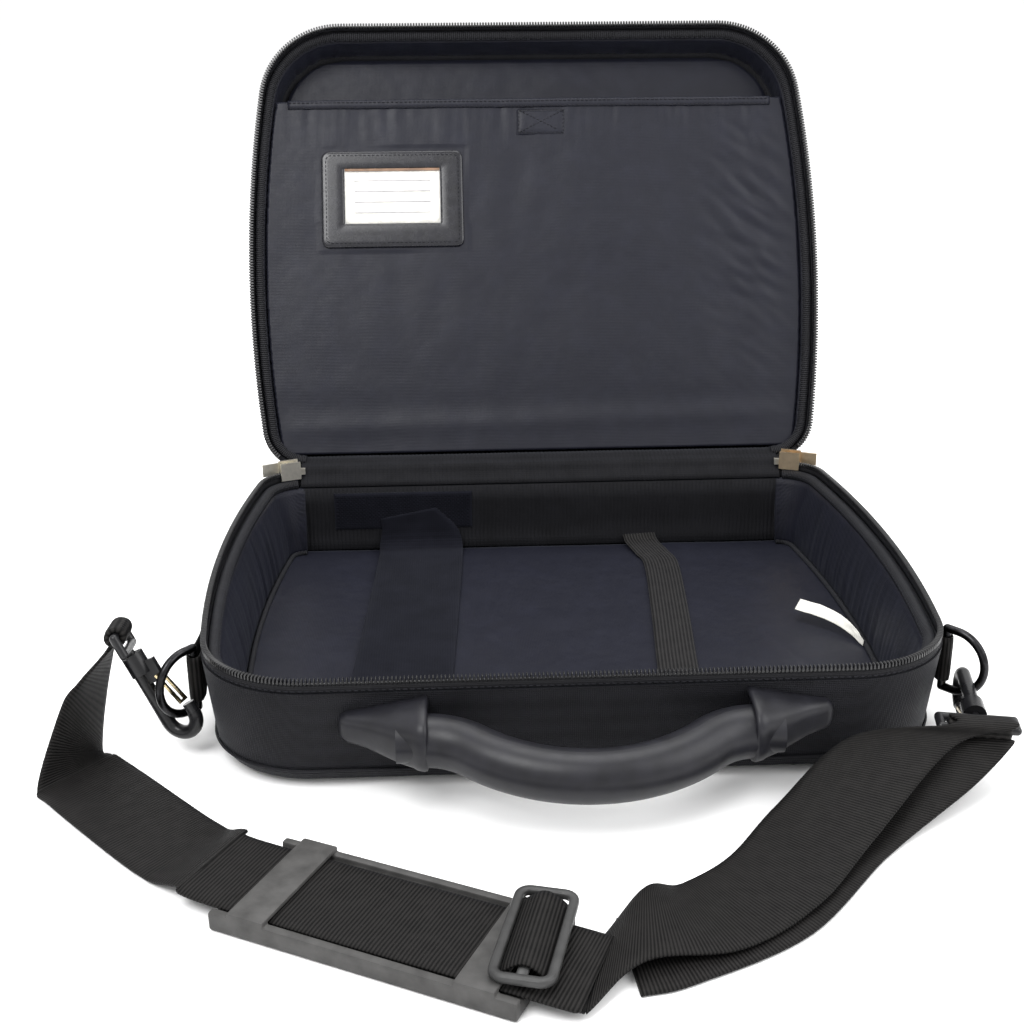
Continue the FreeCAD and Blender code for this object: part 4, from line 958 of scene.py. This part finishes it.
keep_node("base_shell", SHELL)
keep_node("lid_shell", SHELL)
for name in ("base_floor_board", "lid_board", "handle_core", "handle_backing_plates"):
    keep_node(name, BUCKLE)
keep_node("handle_screws", STEEL)
for side, place, inset, height, body in (("base", same, 4.15, 9.6, "case"),
                                         ("lid", lid, 4.2, 86.4, "lid")):
    path = rim_line(inset, height, 0.0, AROUND, 360, place)[:-1]
    dress(tube(f"{side}_seam_cord", path, 0.75, 8, closed=True), SHELL, body, "shell_nylon")

# ---------------------------------------------------------------- carrying strap


def vec(*values):
    return Vector(values)


# Each run of webbing: centre of each station, and half of the width as a vector.
LEFT_RUN = [
    (vec(-224.7, -101.2, 56.1), vec(-1.6, 13.5, -3.4)),
    (vec(-233.0, -109.0, 39.0), vec(1.0, 16.5, -11.0)),
    (vec(-238.2, -119.4, 21.6), vec(4.3, 13.3, -18.0)),
    (vec(-242.0, -127.0, 2.4), vec(13.7, 15.0, 0)),
    (vec(-232.0, -138.0, 1.4), vec(15.0, 17.0, 0)),
    (vec(-192.0, -182.0, 1.4), vec(16.0, 16.6, 0)),
    (vec(-176.0, -198.0, 1.4), vec(14.0, 18.4, 0)),
    (vec(-163.0, -210.0, 7.3), vec(11.5, 20.0, 0)),
    (vec(-150.0, -221.8, 7.3), vec(10.4, 20.5, 0)),
    (vec(-22.0, -286.2, 7.3), vec(10.4, 20.5, 0)),
    (vec(-8.0, -288.0, 3.8), vec(6.0, 22.2, 0)),
]
UPPER_RUN = [
    (vec(-7.6, -288.0, 3.8), vec(6.0, 22.2, 0)),
    (vec(14.0, -266.0, 9.0), vec(3.0, 22.8, 0)),
    (vec(42.0, -257.0, 4.6), vec(-9.0, 21.2, 0)),
    (vec(72.0, -235.0, 5.0), vec(-15.0, 17.4, 0)),
    (vec(102.0, -200.0, 9.0), vec(-17.6, 14.8, 0)),
    (vec(146.0, -163.0, 26.0), vec(-22.0, 6.0, 0)),
    (vec(182.9, -164.0, 33.4), vec(-14.2, 2.9, 0)),
    (vec(184.1, -156.5, 34.4), vec(-13.7, 2.8, 0)),
]
RETURN_RUN = [
    (vec(184.1, -157.4, 23.4), vec(-13.7, 2.8, 0)),
    (vec(183.0, -162.7, 23.8), vec(-14.2, 2.9, 0)),
    (vec(152.0, -174.0, 13.0), vec(-21.0, 9.0, 0)),
    (vec(112.0, -198.0, 1.4), vec(-17.6, 14.8, 0)),
    (vec(68.0, -247.0, 1.4), vec(-13.0, 19.0, 0)),
    (vec(24.0, -271.0, 1.4), vec(-6.0, 22.2, 0)),
    (vec(6.0, -276.0, 1.4), vec(-2.0, 23.0, 0)),
]


LOWEST_WEBBING = 1.35


def webbing(name, run, node, seed):
    """One run of the shoulder strap, kept just clear of the floor."""
    centres = curve_points([c for c, _ in run], 9)
    halves = curve_points([h for _, h in run], 9)
    for centre in centres:
        centre.z = max(centre.z, LOWEST_WEBBING)
    made = strip(name, centres, halves, 1.9, 14, 0.25, seed)
    dress(made, WEBBING, "case", "webbing", node)


webbing("strap_left_webbing", LEFT_RUN, "strap_webbing_left", 1.0)
webbing("strap_upper_webbing", UPPER_RUN, "strap_webbing_upper", 2.0)
webbing("strap_return_webbing", RETURN_RUN, "strap_webbing_return", 3.0)

# Frame of each swivel eye: its origin, its post's axis, across it, and along its bars.
EYES = {
    "left": (vec(-214.453, -101.720, 48.963), vec(0.451381, -0.164226, -0.877089),
             vec(0.884757, 0.210164, 0.415976), vec(0.116018, -0.963774, 0.240164)),
    "right": (vec(187.115, -142.506, 28.468), vec(0.199960, 0.979804, 0), vec(0, 0, -1),
              vec(-0.979804, 0.199960, 0)),
}


def eye_point(side, along, across, through):
    """A point given in a swivel eye's own frame."""
    base, x_axis, y_axis, z_axis = EYES[side]
    return base + x_axis * along + y_axis * across + z_axis * through


EYE_FAR = -15.0
# Distance along the eye's bar, and the wrap's radius there.
WRAP_PROFILE = ([(-14.2, 2.65), (-14.2, 4.4)]
                + [(-13.5 + 1.5 * index, 5.0) for index in range(19)]
                + [(14.2, 4.4), (14.2, 2.65)])


def eye_wrap(side):
    """Gathered webbing turned round the far bar of a swivel eye."""
    rings = []
    for step in range(24):
        angle = 2 * math.pi * step / 24
        ring = []
        for through, radius in WRAP_PROFILE:
            if radius > 4:
                radius += 0.35 * math.cos(through * 1.4 + 2.0 * math.cos(angle))
            ring.append(eye_point(side, EYE_FAR + radius * math.cos(angle),
                                  radius * math.sin(angle), through))
        rings.append(ring)
    made = loft(f"strap_wrap_{side}", rings, closed_path=True)
    dress(made, WEBBING, "case", "webbing")


for side in EYES:
    eye_wrap(side)
    keep_node(f"swivel_eye_{side}", GLOSSY)
    keep_node(f"snap_hook_{side}", GLOSSY)
    keep_node(f"hook_gate_{side}", GATE)
    keep_node(f"d_ring_{side}", RING)
    plating = NICKEL if side == "left" else BRASS
    keep_node(f"zip_slider_{side}", plating)
    keep_node(f"zip_pull_{side}", plating)
keep_node("handle_grip", RUBBER)
keep_node("shoulder_pad", GREY_RUBBER, bevel=0.9)


# Where the front wall's face is at a height of 52, and how much it leans in per millimetre.
WALL_AT_BAND = 147.2
WALL_LEAN = 0.1125


def handle_cap(side, sign, mouth):
    """Moulded end cap: a rounded toe on the wall that swells to a flared, hollow mouth."""
    rings = []
    # Share of the way from toe to mouth, fullness in height, fullness out from the wall.
    stations = [(0.0, 0.30, 0.25), (0.012, 0.62, 0.6), (0.04, 0.85, 0.85), (0.10, 1.0, 1.0),
                (0.3, 1.0, 1.0), (0.5, 1.0, 1.0), (0.7, 1.0, 1.0), (0.84, 1.0, 1.0),
                (0.88, 1.03, 1.03), (0.955, 1.045, 1.04), (0.985, 1.03, 1.02),
                (1.0, 0.97, 0.97), (0.995, 0.88, 0.9), (0.95, 0.84, 0.86)]
    for share, fat_z, fat_y in stations:
        x = mouth + sign * 41.5 * (1 - share)
        ease = share * share * (3 - 2 * share)
        low, high = 26.5 - 8.0 * ease, 42.5 + 7.0 * ease
        deep = 8.8 + 21.0 * ease
        middle, half = (low + high) / 2, (high - low) / 2 * fat_z
        ring = []
        for step in range(33):
            angle = math.pi * step / 32
            z = middle + half * math.copysign(abs(math.cos(angle)) ** 0.62, math.cos(angle))
            wall = WALL_AT_BAND - WALL_LEAN * (52 - z) + 1.2
            y = -wall - (deep - 1.6) * fat_y * math.sin(angle) ** 0.62
            ring.append(Vector((x, y, z)))
        rings.append(ring)
    made = loft(f"handle_end_{side}", rings)
    dress(made, RUBBER, "case", "cap_plastic", f"handle_cap_{side}")


handle_cap("left", -1, -71.5)
handle_cap("right", 1, 75.5)

BUCKLE_AT = Matrix.Translation((-30.0, -276.0, 13.0)) @ Matrix.Rotation(
    math.radians(-15.0), 4, "Z")


def buckle_bar(name, points, wide, tall, closed):
    """Moulded bar of rounded section along points in the buckle's own plane."""
    rings = []
    for index, point in enumerate(points):
        ahead = travel(points, index, closed).normalized()
        side = Vector((ahead.y, -ahead.x, 0))
        ring = []
        for step in range(16):
            angle = 2 * math.pi * step / 16
            c, d = math.cos(angle), math.sin(angle)
            ring.append(BUCKLE_AT @ (point + side * math.copysign(abs(c) ** 0.6, c) * wide
                                     + Vector((0, 0, math.copysign(abs(d) ** 0.7, d) * tall))))
        rings.append(ring)
    return loft(name, rings, closed_path=closed)


def buckle():
    """Three-bar adjuster with the webbing looped over its middle bar."""
    frame_points = [Vector((x, y, 0)) for x, y in rounded_box((-11.2, 11.2), (-27.0, 27.0), 4.5)]
    outer = buckle_bar("strap_adjuster", frame_points, 2.0, 1.8, True)
    middle = buckle_bar("strap_adjuster_bar", [Vector((0, y, 0.0)) for y in
                                               (-26.5, -15, 0, 15, 26.5)], 2.3, 1.5, False)
    made = merge("strap_adjuster", [outer, middle])
    dress(made, BUCKLE, "case", "buckle_plastic", "strap_buckle")
    profile = [(-8.6, -1.9), (-7.4, -0.6), (-4.5, 1.6), (-2.0, 3.1), (0.0, 3.5), (2.0, 3.1),
               (4.5, 1.6), (7.4, -0.6), (8.6, -1.9)]
    centres = [BUCKLE_AT @ Vector((x, 0, z)) for x, z in profile]
    centres = curve_points(centres, 5)
    turn = BUCKLE_AT.to_3x3()
    halves = [turn @ Vector((0, 22.6, 0)) for _ in centres]
    loop = strip("strap_adjuster_loop", centres, halves, 1.7, 12)
    dress(loop, WEBBING, "case", "webbing")


buckle()
keep_node("zip_stops", NICKEL)

# ---------------------------------------------------------------- ring tabs


def ring_tab(side, sign):
    """Folded webbing that holds a side ring's bar and is sewn down on the shell."""
    bar = Vector((sign * 186.2, -100.0))
    around_bar = 3.05
    path = [(184.6, -69.0), (184.4, -76.0), (183.9, -86.0), (182.9, -95.0)]
    points = [Vector((sign * x, y)) for x, y in path]
    for step in range(9):
        angle = math.radians(180 + 180 * step / 8)
        points.append(bar + Vector((sign * math.cos(angle) * around_bar,
                                    math.sin(angle) * around_bar)))
    points += [Vector((sign * x, y)) for x, y in ((189.2, -95.0), (187.6, -87.0),
                                                 (186.9, -78.0), (186.9, -69.0))]
    centres = [Vector((p.x, p.y, 37.0)) for p in points]
    halves = [Vector((0, 0, 11.9)) for _ in centres]
    made = strip(f"ring_tab_{side}", centres, halves, 1.2, 8)
    dress(made, WEBBING, "case", "webbing", f"d_ring_tab_{side}")


for side, sign in (("left", -1), ("right", 1)):
    ring_tab(side, sign)

# ---------------------------------------------------------------- straps inside the base


def inner_strap(name, stations, thick, material, slot, node, ripple=0.3):
    """Flat strap through stations inside the base."""
    centres = curve_points([vec(*c) for c, _ in stations], 10)
    halves = curve_points([vec(*h) for _, h in stations], 10)
    made = strip(name, centres, halves, thick, 12, ripple, 7.0)
    dress(made, material, "case", slot, node)


inner_strap("loop_strap_pile", [
    ((-91.0, -100.0, 7.6), (27.0, -2.0, 0)), ((-88.0, -60.0, 7.6), (27.0, -2.0, 0)),
    ((-85.0, 0.0, 7.6), (27.0, -2.0, 0)), ((-82.0, 70.0, 7.7), (27.0, -2.0, 0)),
    ((-80.0, 120.0, 8.2), (27.0, -1.0, 0)), ((-80.0, 134.0, 11.5), (27.0, 0, 0)),
    ((-81.0, 138.0, 20.0), (24.5, 0, 1.0)), ((-88.0, 138.6, 31.0), (18.0, 0, 3.5)),
    ], 1.4, LOOP_PILE, "hook_tape", "hook_loop_strap")
inner_strap("elastic_band", [
    ((57.0, -100.0, 7.4), (11.0, -0.6, 0)), ((62.0, -40.0, 7.5), (11.0, -0.9, 0)),
    ((68.5, 30.0, 7.4), (11.0, -1.0, 0)), ((73.5, 98.0, 7.5), (11.0, 0.4, 0)),
    ((70.0, 118.0, 8.0), (10.8, 2.0, 0)), ((65.5, 133.0, 9.6), (10.8, 1.0, 0)),
    ((64.0, 138.0, 13.2), (10.5, 0, 0.5)),
    ], 1.2, ELASTIC, "elastic_webbing", "elastic_strap", ripple=0.2)


def hook_patch():
    """Rectangle of hook tape with rows of tiny hooks, sewn to the ribbed panel."""
    left, right, low, high = -136.0, -46.0, 20.0, 45.0
    rings = []
    for i in range(61):
        z = low + (high - low) * i / 60
        front, back = [], []
        for j in range(181):
            x = left + (right - left) * j / 180
            edge = min(x - left, right - x, z - low, high - z)
            rise = 0.9 * (1 - math.exp(-edge / 0.5))
            if edge > 1.6:
                rise += 0.35 * (math.sin(x * 2.6) * math.sin(z * 2.6) > 0)
            front.append(Vector((x, 139.9 - rise, z)))
            back.append(Vector((x, 141.0, z)))
        rings.append(front + back[::-1])
    dress(loft("hook_patch_pile", rings), LOOP_PILE, "case", "hook_tape", "hook_patch")


hook_patch()
inner_strap("care_tag_cloth", [
    ((168.5, -26.0, 9.2), (0.2, 0, 1.8)), ((165.5, -14.0, 11.4), (0.9, 0.4, 2.3)),
    ((160.0, -3.0, 13.4), (1.6, 1.2, 2.4)), ((151.5, 7.0, 14.6), (2.2, 2.2, 2.2)),
    ((141.5, 17.0, 14.4), (2.4, 3.4, 1.6)),
    ], 0.28, TAG, "tag_fabric", "care_tag", ripple=0.5)

# ---------------------------------------------------------------- floor, light and camera


def plain_plane(name, size, height, material):
    """Large level floor for the picture only, in metres."""
    mesh = bpy.data.meshes.new(name)
    mesh.from_pydata([(-size, -size, height), (size, -size, height), (size, size, height),
                      (-size, size, height)], [], [(0, 1, 2, 3)])
    obj = bpy.data.objects.new(name, mesh)
    scene.collection.objects.link(obj)
    obj.data.materials.append(material)


STUDIO = Paint("studio_floor", (0.97, 0.97, 0.97), 0.9, specular=0.05)
plain_plane("studio_floor", 60.0, -0.0002, STUDIO.done())

world = bpy.data.worlds.new("studio")
scene.world = world
world.use_nodes = True
world.node_tree.nodes["Background"].inputs["Color"].default_value = (1, 1, 1, 1)
world.node_tree.nodes["Background"].inputs["Strength"].default_value = 1.05


def area_light(name, at, aim, size, power):
    """Square soft light, in metres and watts, turned to shine at a point."""
    data = bpy.data.lights.new(name, "AREA")
    data.size = size
    data.energy = power
    obj = bpy.data.objects.new(name, data)
    obj.location = at
    obj.rotation_mode = "QUATERNION"
    obj.rotation_quaternion = (Vector(at) - Vector(aim)).to_track_quat("Z", "Y")
    scene.collection.objects.link(obj)


area_light("key", (-0.7, -0.9, 1.6), (0, 0, 0.1), 0.9, 26)
area_light("fill", (1.2, -0.6, 1.1), (0, 0, 0.1), 1.2, 16)
area_light("top", (0.1, 0.5, 1.9), (0, 0.1, 0.1), 1.2, 22)

FORWARD = Vector((0.0400, 0.9355, -0.3512)).normalized()
LEVEL_RIGHT = Vector((0.99909, -0.04269, 0.0)).normalized()
LEVEL_UP = LEVEL_RIGHT.cross(FORWARD).normalized()
ROLL = -0.0077
RIGHT_AXIS = LEVEL_RIGHT * math.cos(ROLL) + LEVEL_UP * math.sin(ROLL)
UP_AXIS = LEVEL_UP * math.cos(ROLL) - LEVEL_RIGHT * math.sin(ROLL)
camera = bpy.data.cameras.new("camera")
camera.lens = 49.0
camera.sensor_width = 36.0
camera.clip_start = 0.01
camera_obj = bpy.data.objects.new("camera", camera)
scene.collection.objects.link(camera_obj)
camera_obj.matrix_world = Matrix.Translation((-0.05655, -0.71832, 0.35195)) @ Matrix(
    (RIGHT_AXIS, UP_AXIS, -FORWARD)).transposed().to_4x4()
scene.camera = camera_obj
scene.view_settings.view_transform = "Standard"
